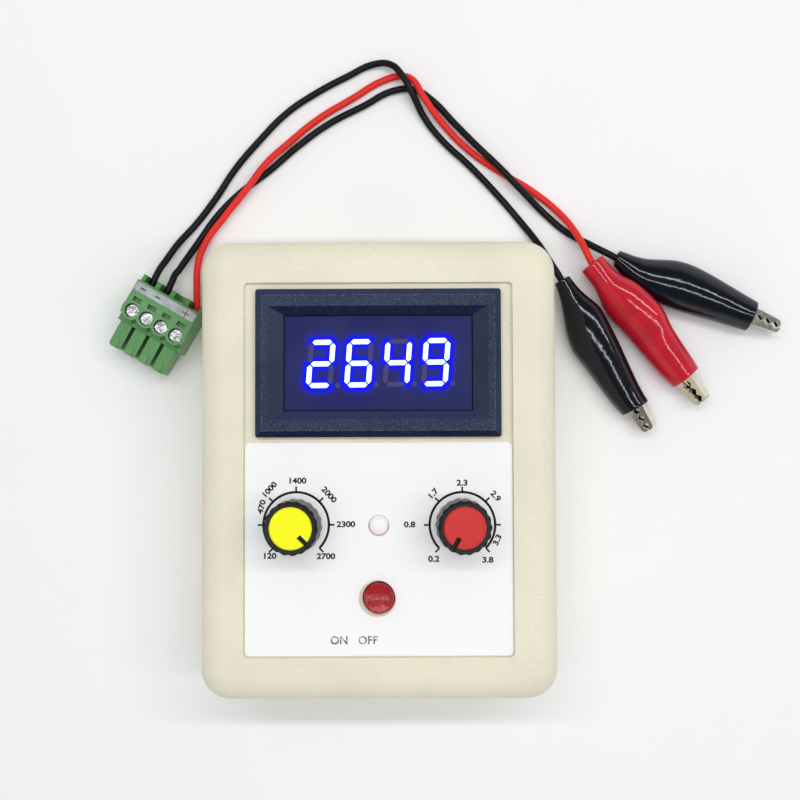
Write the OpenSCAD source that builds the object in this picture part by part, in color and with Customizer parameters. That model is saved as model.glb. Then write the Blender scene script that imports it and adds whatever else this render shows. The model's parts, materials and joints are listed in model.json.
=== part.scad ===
/* [Case] */
// width of the case across the knobs
case_width = 70; // [60:1:90]
// length of the case from the lead socket side to the USB side
case_length = 90; // [85:1:120]
// height of the case
case_height = 28; // [26:1:40]
// wall of the case
case_wall = 2; // [1.5:0.1:3]
// radius of the upright corners
corner_radius = 6; // [3:0.5:12]
// rounding of the edge between the top and the sides
top_rounding = 4.5; // [2:0.5:5]
// rounding of the edge under the case
base_rounding = 1.6; // [0.5:0.1:2]
// height at which the two shells meet
parting_height = 16; // [15:0.5:18]
// flat rim between the sides and the sunk panel
rim_width = 8.6; // [8:0.1:12]
// depth of the sunk panel
panel_depth = 1; // [0.5:0.1:1.5]
// thickness of the panel
panel_thickness = 2; // [1.5:0.1:2.5]

/* [Front label] */
// gap between the label and each side of the sunk panel
label_side_gap = 0.2; // [0.1:0.05:1]
// gap between the label and the meter's bezel
label_gap = 1.05; // [0.5:0.05:3]
// thickness of the label
label_thickness = 0.25; // [0.1:0.05:0.4]
// gap between the label and the lower edge of the panel
label_margin = 0.25; // [0.1:0.05:2]

/* [Meter] */
// gap between the meter's bezel and each side of the sunk panel
meter_side_gap = 2.3; // [1:0.1:4]
// height of the meter's bezel
meter_height = 29; // [24:0.1:32]
// gap between the bezel and the upper edge of the sunk panel
meter_top_gap = 1.3; // [0.5:0.1:3]
// width of the bezel's frame beside the window
frame_side = 5.5; // [4:0.1:7]
// width of the bezel's frame above and below the window
frame_end = 5.1; // [4:0.1:6]
// width of the slope round the bezel
bezel_bevel = 1.2; // [0.4:0.1:1.6]
// how far the bezel stands above the panel
bezel_rise = 2.2; // [1.5:0.1:3]
// depth of the meter body behind the panel
meter_depth = 12; // [8:0.5:14]
// gap round the meter body in its cut-out
meter_gap = 0.2; // [0.1:0.05:0.3]
// distance from one digit to the next
digit_pitch = 7.5; // [6:0.1:8]
// height of one digit
digit_height = 9.4; // [8:0.1:10]
// width of one lit bar
segment_width = 0.95; // [0.7:0.05:1.2]
// slant of the digits in degrees
digit_slant = 5; // [0:1:10]
// turn of the row of digits in the window, in degrees
digit_turn = 0.7; // [-1:0.1:1]

/* [Knobs] */
// distance from the case's middle line to each knob
knob_x = 16.3; // [15:0.1:20]
// distance of the knobs above the label's centre
knob_offset = 4.55; // [3:0.05:6]
// diameter of the knob at its foot
knob_diameter = 10.6; // [9:0.1:12]
// height of the knob body
knob_height = 11.6; // [10:0.1:14]
// depth of the flutes round the knob
flute_depth = 0.28; // [0.1:0.01:0.4]
// number of flutes round the knob
flute_count = 18; // [12:1:24]
// diameter of the coloured cap
cap_diameter = 8; // [6:0.1:8.6]
// height of the cap's rim above the knob body
cap_rise = 0.5; // [0.2:0.1:1]
// width of the pointer groove
pointer_width = 0.95; // [0.6:0.05:1.4]
// space between the knob and the label
knob_clearance = 0.4; // [0.3:0.1:1]
// diameter of the potentiometer's shaft
shaft_diameter = 6; // [4:0.1:6]
// radial gap of the shaft in its bush
shaft_gap = 0.05; // [0.02:0.01:0.1]
// diameter of the potentiometer's bush
bush_diameter = 7.8; // [7.6:0.1:9]

/* [Start button and indicator] */
// distance of the indicator above the label's centre
indicator_offset = 4.55; // [2:0.05:7]
// diameter of the indicator's dome
indicator_diameter = 4; // [3:0.1:5]
// distance of the start button below the label's centre
button_offset = 9.45; // [8:0.05:11]
// diameter of the start button
button_diameter = 6; // [5:0.1:7]
// radial gap round the start button
button_gap = 0.2; // [0.15:0.05:0.6]
// clearance of the label's hole round the start button
label_hole_gap = 0.55; // [0.5:0.05:1]
// travel of the start button
button_travel = 1.5; // [0.5:0.1:2]
// how far the button stands above the label
button_rise = 1.9; // [1.8:0.1:3]

/* [Sockets and power switch] */
// distance of the USB socket from the corner post beside it
usb_to_post = 7.4; // [7.2:0.1:9]
// place of the power switch along the lower wall
switch_x = -4.9; // [-8:0.1:8]
// travel of the power switch
switch_travel = 2; // [1:0.1:3]
// distance between the contacts of the lead socket and plug
contact_pitch = 3.5; // [3.5:0.01:3.81]
// number of contacts
contact_count = 4; // [4:1:4]

/* [Lead set] */
// diameter of the wires
wire_diameter = 1.5; // [1.2:0.1:1.8]
// length of each clip's boot
boot_length = 31.5; // [30:0.5:33]
// wall of the boots
boot_wall = 0.6; // [0.4:0.1:0.7]
// sheet of the clip's jaws
jaw_sheet = 0.5; // [0.4:0.05:0.6]
// width of the clip's jaws
jaw_width = 3.4; // [3:0.1:4]
// number of teeth along a jaw
jaw_teeth = 7; // [4:1:9]
// gap between the two jaws at rest
jaw_gap = 0.3; // [0.3:0.05:0.6]
// length of the jaw in front of its hinge
jaw_reach = 17.6; // [16:0.1:18]
// hinge pin of the clip
hinge_pin = 1.6; // [1.2:0.1:2]

/* [Hidden] */
$fn = 32;
e = 0.01;

panel_top = case_height - panel_depth;
panel_under = panel_top - panel_thickness;
label_top = panel_top + label_thickness;
recess_width = case_width - 2*(rim_width + 0.1);
recess_length = case_length - 2*(rim_width - 0.1);
meter_width = recess_width - 2*meter_side_gap;
meter_y = recess_length/2 - meter_top_gap - meter_height/2;
label_width = recess_width - 2*label_side_gap;
label_length = recess_length - label_margin - label_gap - meter_height - meter_top_gap;
label_y = -recess_length/2 + label_margin + label_length/2;
knob_y = label_y + knob_offset;
indicator_y = label_y + indicator_offset;
button_y = label_y - button_offset;
inner_width = case_width - 2*case_wall;
inner_length = case_length - 2*case_wall;
board_top = 7.6;
board_sheet = 1.6;
board_width = case_width - 2*case_wall - 4;
board_length = case_length - 2*case_wall - 4;
post_x = board_width/2 - 4.5;
post_y = board_length/2 - 4.5;
post_radius = 2.6;
screw_radius = 1.15;
start_body = 8.5;
board_head = 1.9;
board_screw_y = -button_y - start_body/2 - board_head - 0.6;
usb_x = usb_to_post - post_x;
usb_width = 9;
usb_height = 3.3;
body_width = meter_width - 2.4;
body_height = meter_height - 2.4;
window_width = meter_width - 2*frame_side;
window_height = meter_height - 2*frame_end;
digit_block_width = window_width - 7;
digit_block_height = window_height - 4.8;
digit_width = digit_pitch - 3.25;
bar_gap = 0.4;
meter_face = panel_top + bezel_rise;
digit_top = panel_top + 0.6;
meter_back = panel_top - meter_depth + 1.2;
knob_foot = label_top + knob_clearance;
knob_top = knob_foot + knob_height;
shaft_top = knob_top - 3;
pot_top = 14.6;
bush_top = panel_top - 0.4;
voltage_angle = -45;
current_angle = -120;
button_top = label_top + button_rise;
plunger_radius = 1.6;
switch_z = board_top + 1.7;
usb_z = board_top + 1.65;
header_width = contact_count*contact_pitch + 1.4;
header_height = 9.2;
header_z = board_top;

// 7 bars of a digit: a top, b upper right, c lower right, d bottom, e lower left, f upper left, g middle
LIT = [[0, 1, 3, 4, 6], [0, 2, 3, 4, 5, 6], [1, 2, 5, 6], [0, 1, 2, 3, 5, 6]];
function has(list, k) = len([for (v = list) if (v == k) 1]) > 0;

module rounded(w, l, r) {
    square([w - 2*r, l], center = true);
    square([w, l - 2*r], center = true);
    for (x = [-1, 1], y = [-1, 1]) translate([x*(w/2 - r), y*(l/2 - r)]) circle(r);
}
module slab(w, l, h, r) { linear_extrude(h) rounded(w, l, r); }

// outer form of the case, moved inwards by g: the upright corners are revolved edge profiles
module case_form(g) {
    r = corner_radius - g;
    t = max(top_rounding - g, 0.6);
    b = max(base_rounding - g, 0.4);
    edge = concat([[0, g]], [for (a = [270:30:360]) [r - b + b*cos(a), g + b + b*sin(a)]],
        [for (a = [0:15:90]) [r - t + t*cos(a), case_height - g - t + t*sin(a)]], [[0, case_height - g]]);
    hull() for (x = [-1, 1], y = [-1, 1])
        translate([x*(case_width/2 - corner_radius), y*(case_length/2 - corner_radius), 0])
            rotate_extrude() polygon(edge);
}
module above(z, h = 60) { translate([-100, -100, z]) cube([200, 200, h]); }
module below(z, h = 60) { translate([-100, -100, z - h]) cube([200, 200, h]); }

// openings in the lower wall, the usb socket and the switch, and the lead socket's in the upper wall
module port_holes(grow) {
    translate([usb_x, -case_length/2, usb_z]) rotate([90, 0, 0])
        translate([0, 0, -case_wall - 2]) linear_extrude(6) rounded(usb_width + 2*grow, usb_height + 2*grow, 1.6 + grow);
    translate([switch_x - 4.6 + 0.6, -case_length/2 - 2, switch_z - 1.2 - grow])
        cube([8, 6, 2.4 + 2*grow]);
    translate([-header_width/2 - grow, case_length/2 - 4, header_z - grow])
        cube([header_width + 2*grow, 6, header_height - 1 + 2*grow]);
}

module top_shell() {
    color([0.9, 0.87, 0.79]) difference() {
        union() {
            difference() {
                intersection() { case_form(0); above(parting_height); }
                difference() {
                    case_form(case_wall);
                    above(panel_under);
                }
            }
            // screw bosses that meet the posts of the lower shell
            for (x = [-1, 1], y = [-1, 1]) translate([x*post_x, y*post_y, board_top])
                cylinder(r = post_radius, h = panel_under - board_top + e);
        }
        translate([0, 0, panel_top]) slab(recess_width, recess_length, 5, 0.9);
        translate([-body_width/2 - meter_gap, meter_y - body_height/2 - meter_gap, 0])
            cube([body_width + 2*meter_gap, body_height + 2*meter_gap, 40]);
        for (x = [-1, 1]) translate([x*knob_x, knob_y, panel_under - 1])
            cylinder(d = bush_diameter + 0.4, h = 9);
        translate([0, indicator_y, panel_under - 1]) cylinder(d = indicator_diameter + 0.3, h = 9);
        translate([0, button_y, panel_under - 1]) cylinder(d = button_diameter + 2*button_gap, h = 9);
        for (x = [-1, 1], y = [-1, 1]) translate([x*post_x, y*post_y, 0])
            cylinder(r = screw_radius, h = 22);
    }
}
module bottom_shell() {
    color([0.88, 0.85, 0.77]) difference() {
        union() {
            difference() {
                intersection() { case_form(0); below(parting_height); }
                case_form(case_wall);
            }
            // lip that centres the upper shell
            difference() {
                union() {
                    translate([0, 0, parting_height - 3])
                        slab(inner_width + 0.6, inner_length + 0.6, 3, corner_radius - case_wall + 0.3);
                    translate([0, 0, parting_height - 1])
                        slab(inner_width - 0.3, inner_length - 0.3, 2, corner_radius - case_wall - 0.15);
                }
                translate([0, 0, parting_height - 4])
                    slab(inner_width - 2, inner_length - 2, 7, corner_radius - case_wall - 1);
            }
            for (x = [-1, 1], y = [-1, 1]) translate([x*post_x, y*post_y, 1])
                cylinder(r = post_radius + 0.6, h = board_top - board_sheet - 1);
            for (y = [-1, 1]) translate([0, y*board_screw_y, 1])
                cylinder(r = post_radius, h = board_top - board_sheet - 1);
        }
        port_holes(0.15);
        for (x = [-1, 1], y = [-1, 1]) translate([x*post_x, y*post_y, -1]) {
            cylinder(r = screw_radius + 0.3, h = 12);
            cylinder(r = 2.2, h = 3.4);
        }
        for (y = [-1, 1]) translate([0, y*board_screw_y, 2]) cylinder(r = 0.9, h = 9);
    }
}
module case_screws() {
    color([0.6, 0.6, 0.62]) for (x = [-1, 1], y = [-1, 1]) translate([x*post_x, y*post_y, 0.3]) difference() {
        union() {
            cylinder(r = 2, h = 2.1);
            cylinder(r = screw_radius, h = 19);
        }
        translate([-1.6, -0.25, -1]) cube([3.2, 0.5, 1.8]);
        translate([-0.25, -1.6, -1]) cube([0.5, 3.2, 1.8]);
    }
}
module main_board() {
    color([0.1, 0.35, 0.18]) difference() {
        translate([0, 0, board_top - board_sheet]) slab(board_width, board_length, board_sheet, 3);
        for (x = [-1, 1], y = [-1, 1]) translate([x*post_x, y*post_y, 0]) cylinder(r = screw_radius + 0.4, h = 12);
        for (y = [-1, 1]) translate([0, y*board_screw_y, 0]) cylinder(r = 1.1, h = 12);
    }
}
module board_screws() {
    color([0.6, 0.6, 0.62]) for (y = [-1, 1]) translate([0, y*board_screw_y, 3]) difference() {
        union() {
            cylinder(r = 0.9, h = board_top - 3);
            translate([0, 0, board_top - 3]) cylinder(r = board_head, h = 1.3);
        }
        translate([-1.4, -0.2, board_top - 3 + 0.6]) cube([2.8, 0.4, 2]);
    }
}
module front_label() {
    color([0.97, 0.97, 0.96]) difference() {
        translate([0, label_y, panel_top]) slab(label_width, label_length, label_thickness, 1);
        for (x = [-1, 1]) translate([x*knob_x, knob_y, 20]) cylinder(d = bush_diameter + 0.4, h = 20);
        translate([0, indicator_y, 20]) cylinder(d = indicator_diameter + 0.1, h = 20);
        // cut a little off centre, so the panel shows on one side of the button
        translate([-0.35, button_y - 0.2, 20]) cylinder(d = button_diameter + 2*label_hole_gap, h = 20);
    }
}

module bezel_ring(w, l, z) { translate([0, 0, z]) linear_extrude(0.02) rounded(w, l, 0.5); }
module meter_bezel() {
    color([0.14, 0.16, 0.24]) translate([0, meter_y, 0]) difference() {
        union() {
            hull() {
                bezel_ring(meter_width, meter_height, panel_top);
                bezel_ring(meter_width, meter_height, meter_face - 0.9);
                bezel_ring(meter_width - 2*bezel_bevel, meter_height - 2*bezel_bevel, meter_face - 0.02);
            }
            translate([-body_width/2, -body_height/2, panel_top - meter_depth]) cube([body_width, body_height, meter_depth + e]);
        }
        hull() {
            bezel_ring(window_width, window_height, digit_top + 0.5);
            bezel_ring(window_width + 6, window_height + 3.4, meter_face);
        }
        translate([-window_width/2, -window_height/2, panel_top - meter_depth + 1.2]) cube([window_width, window_height, 40]);
    }
}
module meter_window() {
    color([0.12, 0.1, 0.3]) translate([0, meter_y, digit_top + 0.2])
        slab(window_width - 0.2, window_height - 0.2, 0.6, 0.4);
}
module meter_digit_block() {
    color([0.1, 0.1, 0.12]) translate([-digit_block_width/2, meter_y - digit_block_height/2, meter_back + 1.6])
        cube([digit_block_width, digit_block_height, digit_top - 0.2 - meter_back - 1.6]);
}
module meter_board() {
    color([0.1, 0.35, 0.18]) translate([-digit_block_width/2 - 1, meter_y - digit_block_height/2 - 1, meter_back])
        cube([digit_block_width + 2, digit_block_height + 2, 1.6]);
}
// a bar of a seven-bar digit, pointed at both ends
module bar_shape(len) {
    t = segment_width/2;
    polygon([[-len/2, 0], [-len/2 + t, t], [len/2 - t, t], [len/2, 0], [len/2 - t, -t], [-len/2 + t, -t]]);
}
module bars(list) {
    w = digit_width; h = digit_height/2 - segment_width/2; g = bar_gap;
    skew = tan(digit_slant);
    multmatrix([[1, skew, 0, 0], [0, 1, 0, 0], [0, 0, 1, 0], [0, 0, 0, 1]]) {
        if (has(list, 0)) translate([0, h]) bar_shape(w - g);
        if (has(list, 6)) bar_shape(w - g);
        if (has(list, 3)) translate([0, -h]) bar_shape(w - g);
        if (has(list, 1)) translate([w/2, h/2]) rotate(90) bar_shape(h - g);
        if (has(list, 2)) translate([w/2, -h/2]) rotate(90) bar_shape(h - g);
        if (has(list, 4)) translate([-w/2, -h/2]) rotate(90) bar_shape(h - g);
        if (has(list, 5)) translate([-w/2, h/2]) rotate(90) bar_shape(h - g);
    }
}
module meter_lit_segments() {
    color([0.6, 0.85, 1]) translate([0, meter_y, digit_top - 0.2]) rotate(digit_turn) linear_extrude(0.2)
        for (i = [0:3]) translate([(i - 1.5)*digit_pitch, 0]) bars(LIT[i]);
}
module meter_dark_segments() {
    color([0.3, 0.28, 0.4]) translate([0, meter_y, digit_top - 0.2]) rotate(digit_turn) linear_extrude(0.18)
        for (i = [0:3]) translate([(i - 1.5)*digit_pitch, 0]) {
            bars([for (k = [0:6]) if (!has(LIT[i], k)) k]);
            translate([digit_width/2 + 1.15, -digit_height/2 + 0.45]) circle(0.5);
        }
}

module indicator_lens() {
    color([1, 0.93, 0.93, 0.8]) translate([0, indicator_y, 0]) {
        translate([0, 0, panel_under - 3]) cylinder(d = indicator_diameter, h = panel_top - panel_under + 3 + 0.2);
        translate([0, 0, panel_top + 0.2]) scale([1, 1, 0.4]) intersection() {
            sphere(d = indicator_diameter);
            cylinder(d = 10, h = 10);
        }
        translate([0, 0, panel_under - 4]) cylinder(d = indicator_diameter + 0.8, h = 1);
    }
}
module indicator_spacer() {
    // spacer under the dome, round its two wires
    color([0.12, 0.12, 0.13]) translate([0, indicator_y, board_top])
        cylinder(d = indicator_diameter + 0.8, h = panel_under - 4 - board_top);
}
module start_switch_body() {
    color([0.15, 0.15, 0.17]) translate([0, button_y, board_top]) difference() {
        translate([-start_body/2, -start_body/2, 0]) cube([start_body, start_body, 8]);
        translate([0, 0, 3.5]) cylinder(r = plunger_radius + 0.08, h = 9);
    }
}
module start_plunger() {
    color([0.9, 0.9, 0.9]) translate([0, button_y, board_top + 3.5 + button_travel + 0.3])
        cylinder(r = plunger_radius, h = button_top - 1.6 - (board_top + 3.5 + button_travel + 0.3));
}
module start_button() {
    depth = 6.2;
    color([0.72, 0.16, 0.18]) translate([0, button_y, 0]) difference() {
        union() {
            translate([0, 0, button_top - depth]) cylinder(d = button_diameter, h = depth - 0.5);
            translate([0, 0, button_top - 0.5]) cylinder(d1 = button_diameter, d2 = button_diameter - 0.9, h = 0.5);
        }
        translate([0, 0, button_top - depth - 1]) cylinder(r = plunger_radius, h = depth + 1 - 1.6);
        translate([0, 0, button_top + 8.6]) sphere(d = 18, $fn = 64);
    }
}

module pot_body(x) {
    translate([x, knob_y, 0]) difference() {
        union() {
            translate([0, 0, board_top]) cylinder(d = 16, h = pot_top - board_top);
            translate([-4.5, -10.5, board_top]) cube([9, 6, 3]);
            cylinder_between(pot_top - e, bush_top, bush_diameter/2);
        }
        translate([0, 0, pot_top - 3]) cylinder(r = shaft_diameter/2 + shaft_gap, h = 30);
    }
}
module cylinder_between(a, b, r) { translate([0, 0, a]) cylinder(r = r, h = b - a); }
module voltage_pot() { color([0.25, 0.32, 0.5]) pot_body(-knob_x); }
module current_pot() { color([0.25, 0.32, 0.5]) pot_body(knob_x); }
module shaft(x, a) {
    translate([x, knob_y, 0]) rotate(a) difference() {
        cylinder_between(pot_top - 2.7, shaft_top, shaft_diameter/2);
        // flat that keys the knob
        translate([1.5, -5, bush_top + 4]) cube([10, 10, 30]);
    }
}
module voltage_shaft() { color([0.72, 0.72, 0.74]) shaft(-knob_x, voltage_angle); }
module current_shaft() { color([0.72, 0.72, 0.74]) shaft(knob_x, current_angle); }

// fluted outline of the knob: shallow round lobes on the rim circle
function flute(a) = knob_diameter/2 - flute_depth*(1 - abs(cos(a*flute_count/2)));
module knob_body(x, a) {
    key_from = bush_top + 4;
    translate([x, knob_y, 0]) rotate(a) difference() {
        translate([0, 0, knob_foot]) {
            linear_extrude(knob_height - 0.6, scale = 0.97) polygon([for (k = [0:4:356]) flute(k)*[cos(k), sin(k)]]);
            translate([0, 0, knob_height - 0.6 - e]) cylinder(d1 = knob_diameter*0.97 - 0.5, d2 = knob_diameter*0.97 - 1.3, h = 0.6);
        }
        // seat of the cap
        translate([0, 0, knob_top - 1.6]) cylinder(d = cap_diameter + e, h = 3);
        // bore with its flat, and the wider space over the bush
        difference() {
            translate([0, 0, knob_foot - 1]) cylinder(d = shaft_diameter, h = shaft_top - knob_foot + 1);
            translate([1.5, -5, key_from]) cube([10, 10, 30]);
        }
        translate([0, 0, knob_foot - 1]) cylinder(d = bush_diameter + 0.8, h = key_from - knob_foot + 1);
        // pointer groove across the rim
        translate([cap_diameter/2 - 0.6, -pointer_width/2, knob_top - 1.2]) cube([4, pointer_width, 4]);
    }
}
module knob_cap(x, a) {
    translate([x, knob_y, 0]) rotate(a) difference() {
        union() {
            cylinder_between(knob_top - 1.6, knob_top + cap_rise - 0.3, cap_diameter/2);
            translate([0, 0, knob_top + cap_rise - 0.3]) cylinder(d1 = cap_diameter, d2 = cap_diameter - 0.5, h = 0.3);
        }
        translate([cap_diameter/2 - 1.9, -pointer_width/2, knob_top - 2]) cube([4, pointer_width, 4]);
    }
}
module voltage_knob() { color([0.16, 0.16, 0.2]) knob_body(-knob_x, voltage_angle); }
module current_knob() { color([0.16, 0.16, 0.2]) knob_body(knob_x, current_angle); }
module voltage_knob_cap() { color([0.98, 0.93, 0.1]) knob_cap(-knob_x, voltage_angle); }
module current_knob_cap() { color([0.82, 0.22, 0.22]) knob_cap(knob_x, current_angle); }

module usb_socket_shell() {
    front = -case_length/2 + 0.5; back = -board_length/2 + 5.5;
    color([0.75, 0.75, 0.77]) translate([usb_x, 0, usb_z]) {
        difference() {
            translate([0, back, 0]) rotate([90, 0, 0]) linear_extrude(back - front) rounded(usb_width, usb_height, 1.6);
            translate([0, back - 1, 0]) rotate([90, 0, 0]) linear_extrude(back - front + 2) rounded(usb_width - 0.6, usb_height - 0.6, 1.3);
        }
    }
}
module usb_socket_tongue() {
    front = -case_length/2 + 1.2; back = -board_length/2 + 4.5;
    color([0.12, 0.12, 0.14]) translate([usb_x - (usb_width - 2.4)/2, front, usb_z - 0.35]) cube([usb_width - 2.4, back - front, 0.7]);
}
module power_switch_body() {
    front = -case_length/2 + case_wall + 0.3;
    color([0.75, 0.75, 0.77]) difference() {
        translate([switch_x - 5, front, board_top]) cube([10, 4.4, 3.6]);
        translate([switch_x - 3.6, front - 1, switch_z - 0.95]) cube([7.2, 3, 1.9]);
    }
}
module power_switch_lever() {
    front = -case_length/2 + case_wall + 0.3;
    color([0.12, 0.12, 0.14]) translate([switch_x - 3 + 0.4, front - 3.3, switch_z - 0.85]) cube([1.8 + 0.4, 5, 1.7]);
}
module lead_socket() {
    back = case_length/2 - case_wall - 6.4;
    color([0.34, 0.63, 0.36]) difference() {
        translate([-header_width/2, back, header_z]) cube([header_width, case_length/2 - 0.3 - back, header_height - 1]);
        // pocket that takes the plug's prongs, with webs between the contacts
        for (k = [0:contact_count - 1]) translate([(k - 1.5)*contact_pitch - 1.5, back + 1.4, header_z + 0.85])
            cube([3.02, 12, header_height - 2.7]);
        for (k = [0:contact_count - 1]) translate([(k - 1.5)*contact_pitch - 0.4, back - 1, header_z + 3.6])
            cube([0.8, 4, 0.8]);
    }
}
module lead_socket_pins() {
    back = case_length/2 - case_wall - 6.4;
    color([0.8, 0.8, 0.82]) for (k = [0:contact_count - 1]) translate([(k - 1.5)*contact_pitch, 0, 0]) {
        translate([-0.4, back - 0.8, header_z + 3.6]) cube([0.8, 7.2, 0.8]);
        translate([-0.4, back - 0.8, board_top]) cube([0.8, 0.8, header_z + 4.4 - board_top]);
    }
}

// plug: x along the row of screws, y towards the wires, z up
plug_place = [-47, 30.4, 0];
plug_turn = -30;
plug_width = contact_count*contact_pitch + 0.6;
plug_height = 11;
strip_width = 1.9;
plug_back = 6.3;
plug_front = -2;
prong_end = -8.5;
prong_slot = 0.8;
prong_length = 5.6;
module on_plug() { translate(plug_place) rotate(plug_turn) children(); }
function contact_x(k) = (k - 1.5)*contact_pitch;
module plug_side() {
    // side outline, y to z
    polygon([[prong_end, 1.6], [prong_end, 7.2], [prong_end + 0.5, 7.8], [plug_front - 1, 8.4], [plug_front - 0.2, 9.4],
        [plug_front, 10.6], [plug_front + 0.4, plug_height], [plug_back, plug_height], [plug_back + 0.3, 8.4],
        [plug_back + 1.7, 8], [plug_back + 1.7, 1.4], [plug_back + 1.2, 0], [plug_front - 0.5, 0], [plug_front - 1, 1.2]]);
}
module plug_housing() {
    color([0.34, 0.63, 0.36]) on_plug() difference() {
        union() {
            difference() {
                translate([-plug_width/2, 0, 0]) rotate([90, 0, 90]) linear_extrude(plug_width) plug_side();
                // hollows between the rounds that stand in front of the screws
                for (k = [0:contact_count]) translate([(k - 2)*contact_pitch, plug_front + 0.1, 8.8]) cylinder(r = 0.75, h = 5, $fn = 16);
            }
            for (k = [0:contact_count - 1]) translate([contact_x(k), 0.2, 8.6]) cylinder(r = 2.2, h = plug_height - 8.6);
            // keys on top of the prongs
            for (k = [0:contact_count - 1]) translate([contact_x(k) - 0.9, prong_end + 0.2, 7.2]) cube([1.4, 1.7, 1]);
        }
        // screw wells
        for (k = [0:contact_count - 1]) translate([contact_x(k), 0, 5.6]) cylinder(r = 1.5, h = 6);
        // clamp chambers, open to the wire side through round funnels
        for (k = [0:contact_count - 1]) translate([contact_x(k) - 1.35, -1.6, 2.2]) cube([2.7, 6.2, 3.5]);
        for (k = [0:contact_count - 1]) translate([contact_x(k), 4.5, 4]) rotate([-90, 0, 0]) {
            cylinder(r = 1.1, h = 6);
            translate([0, 0, 1.4]) cylinder(r1 = 1.1, r2 = 1.5, h = 2.1);
        }
        for (k = [0:contact_count - 1]) translate([contact_x(k) - 1.25, plug_back + 0.25, 4]) cube([2.5, 3, 8]);
        // pin entries and the slots between the prongs
        for (k = [0:contact_count - 1]) translate([contact_x(k) - 0.6, prong_end - 1, 3.4]) cube([1.2, 8, 1.2]);
        for (k = [0:contact_count - 2]) translate([(k - 1)*contact_pitch - prong_slot/2, prong_end - 1, -1])
            cube([prong_slot, prong_length + 1, 12]);
        for (side = [-1, 1]) translate([side*(plug_width/2 - 0.3 - prong_slot/2 + 1) - 1, prong_end - 1, -1])
            cube([2, prong_length + 1, 12]);
        // rounded corners at the prongs' ends
        for (k = [0:contact_count - 1], side = [0, 1]) translate([contact_x(k), prong_end, -1]) mirror([side, 0, 0])
            translate([contact_pitch/2 - prong_slot/2 - 0.6, 0.6, 0]) linear_extrude(12) difference() {
                translate([0, -1]) square([1, 1]);
                circle(0.6);
            }
        // test windows and the seat of the marker strip
        for (k = [0:contact_count - 1]) translate([contact_x(k) - 0.95, 1.95, 9.6]) cube([1.9, 1, 3]);
        translate([-plug_width/2 - 1, 5 - strip_width/2 - 0.05, plug_height - 0.15]) cube([plug_width + 2, strip_width + 0.1, 2]);
    }
}
module plug_marker_strip() {
    color([0.8, 0.8, 0.83]) on_plug() translate([0, 5, plug_height - 0.15]) slab(plug_width - 0.4, strip_width, 0.3, 0.5);
}
module plug_screws() {
    color([0.82, 0.83, 0.85]) on_plug() for (k = [0:contact_count - 1]) translate([contact_x(k), 0, 0]) difference() {
        union() {
            translate([0, 0, 9]) cylinder(r = 1.28, h = 1);
            translate([0, 0, 5.2]) cylinder(r = 0.95, h = 3.9);
        }
        rotate([0, 0, 20 + 47*k]) {
            translate([-1.4, -0.2, 9.5]) cube([2.8, 0.4, 2]);
            translate([-0.2, -0.9, 9.6]) cube([0.4, 1.8, 2]);
        }
    }
}
module plug_clamps() {
    color([0.8, 0.75, 0.6]) on_plug() for (k = [0:contact_count - 1]) translate([contact_x(k), 0, 0]) difference() {
        translate([-1.3, -1.5, 2.25]) cube([2.6, 4, 3.4]);
        translate([0, -3, 4]) rotate([-90, 0, 0]) cylinder(r = 0.9, h = 9, $fn = 20);
        cylinder_between(5, 6, 0.95);
    }
}

// wires: chosen points, swept as one tube of eight sides
function unit(v) = v/norm(v);
function tangent(p, i) = unit(p[min(i + 1, len(p) - 1)] - p[max(i - 1, 0)]);
function ring(p, i, r, m) = let (t = tangent(p, i), s = unit(cross(t, [0, 0, 1])), u = cross(s, t))
    [for (k = [0:m - 1]) p[i] + r*cos(360*k/m)*s + r*sin(360*k/m)*u];
module tube(p, d, m = 8) {
    n = len(p);
    polyhedron(
        points = [for (i = [0:n - 1]) each ring(p, i, d/2, m)],
        faces = concat([[for (k = [0:m - 1]) k]],
            [for (i = [0:n - 2], k = [0:m - 1]) [i*m + k, (i + 1)*m + k, (i + 1)*m + (k + 1) % m, i*m + (k + 1) % m]],
            [[for (k = [0:m - 1]) n*m - 1 - k]]));
}
WIRE_ONE = [[-50.25, 35.05, 4], [-47.85, 40.65, 3.9], [-46.9, 42.7, 3.4], [-45.8, 44.4, 2.9], [-43.4, 48.1, 1.9],
    [-39.8, 52.4, 0.8], [-35.5, 58, 0.8], [-31, 64.8, 0.8], [-25.9, 70.8, 0.8], [-20.1, 76.7, 0.8],
    [-14.3, 80.7, 0.8], [-6.7, 84.8, 0.8], [-1, 87.3, 1.1], [2.4, 86.9, 2.3], [4.7, 84.6, 3.1],
    [7, 80.6, 2.9], [9.6, 75.7, 1.1], [13.5, 70.7, 0.8], [19.5, 65, 0.8], [25.4, 58.7, 0.8],
    [30.7, 52.4, 0.8], [33.9, 48, 2.1], [36.5, 43.3, 4.3], [38.1, 40.6, 4.8], [39.6, 37.8, 4.3],
    [41.75, 33.95, 4.2]];
WIRE_TWO = [[-41.3, 29.9, 4], [-39.2, 33.2, 4], [-38.95, 35.2, 3.9], [-39.1, 37.9, 3], [-38.9, 44.2, 2.2],
    [-37.4, 48.4, 2], [-33.3, 54, 2.2], [-28.5, 59.9, 2.7], [-24.4, 65.4, 2.5], [-19.8, 70, 1.1],
    [-13.4, 75.3, 0.8], [-5.8, 79.9, 0.8], [0.9, 83.8, 0.8], [5, 84.7, 0.9], [7.3, 83.4, 2.3],
    [9.4, 79.8, 2.8], [13.8, 74.1, 1.1], [19.3, 68.5, 0.8], [25.6, 64, 0.8], [32.9, 59.5, 0.8],
    [38.2, 55.1, 1.2], [41.1, 51.2, 3.2], [43.4, 46.8, 4.9], [44.4, 44.6, 5.1], [45.4, 42.7, 5],
    [49.7, 37.5, 4.7]];
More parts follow.
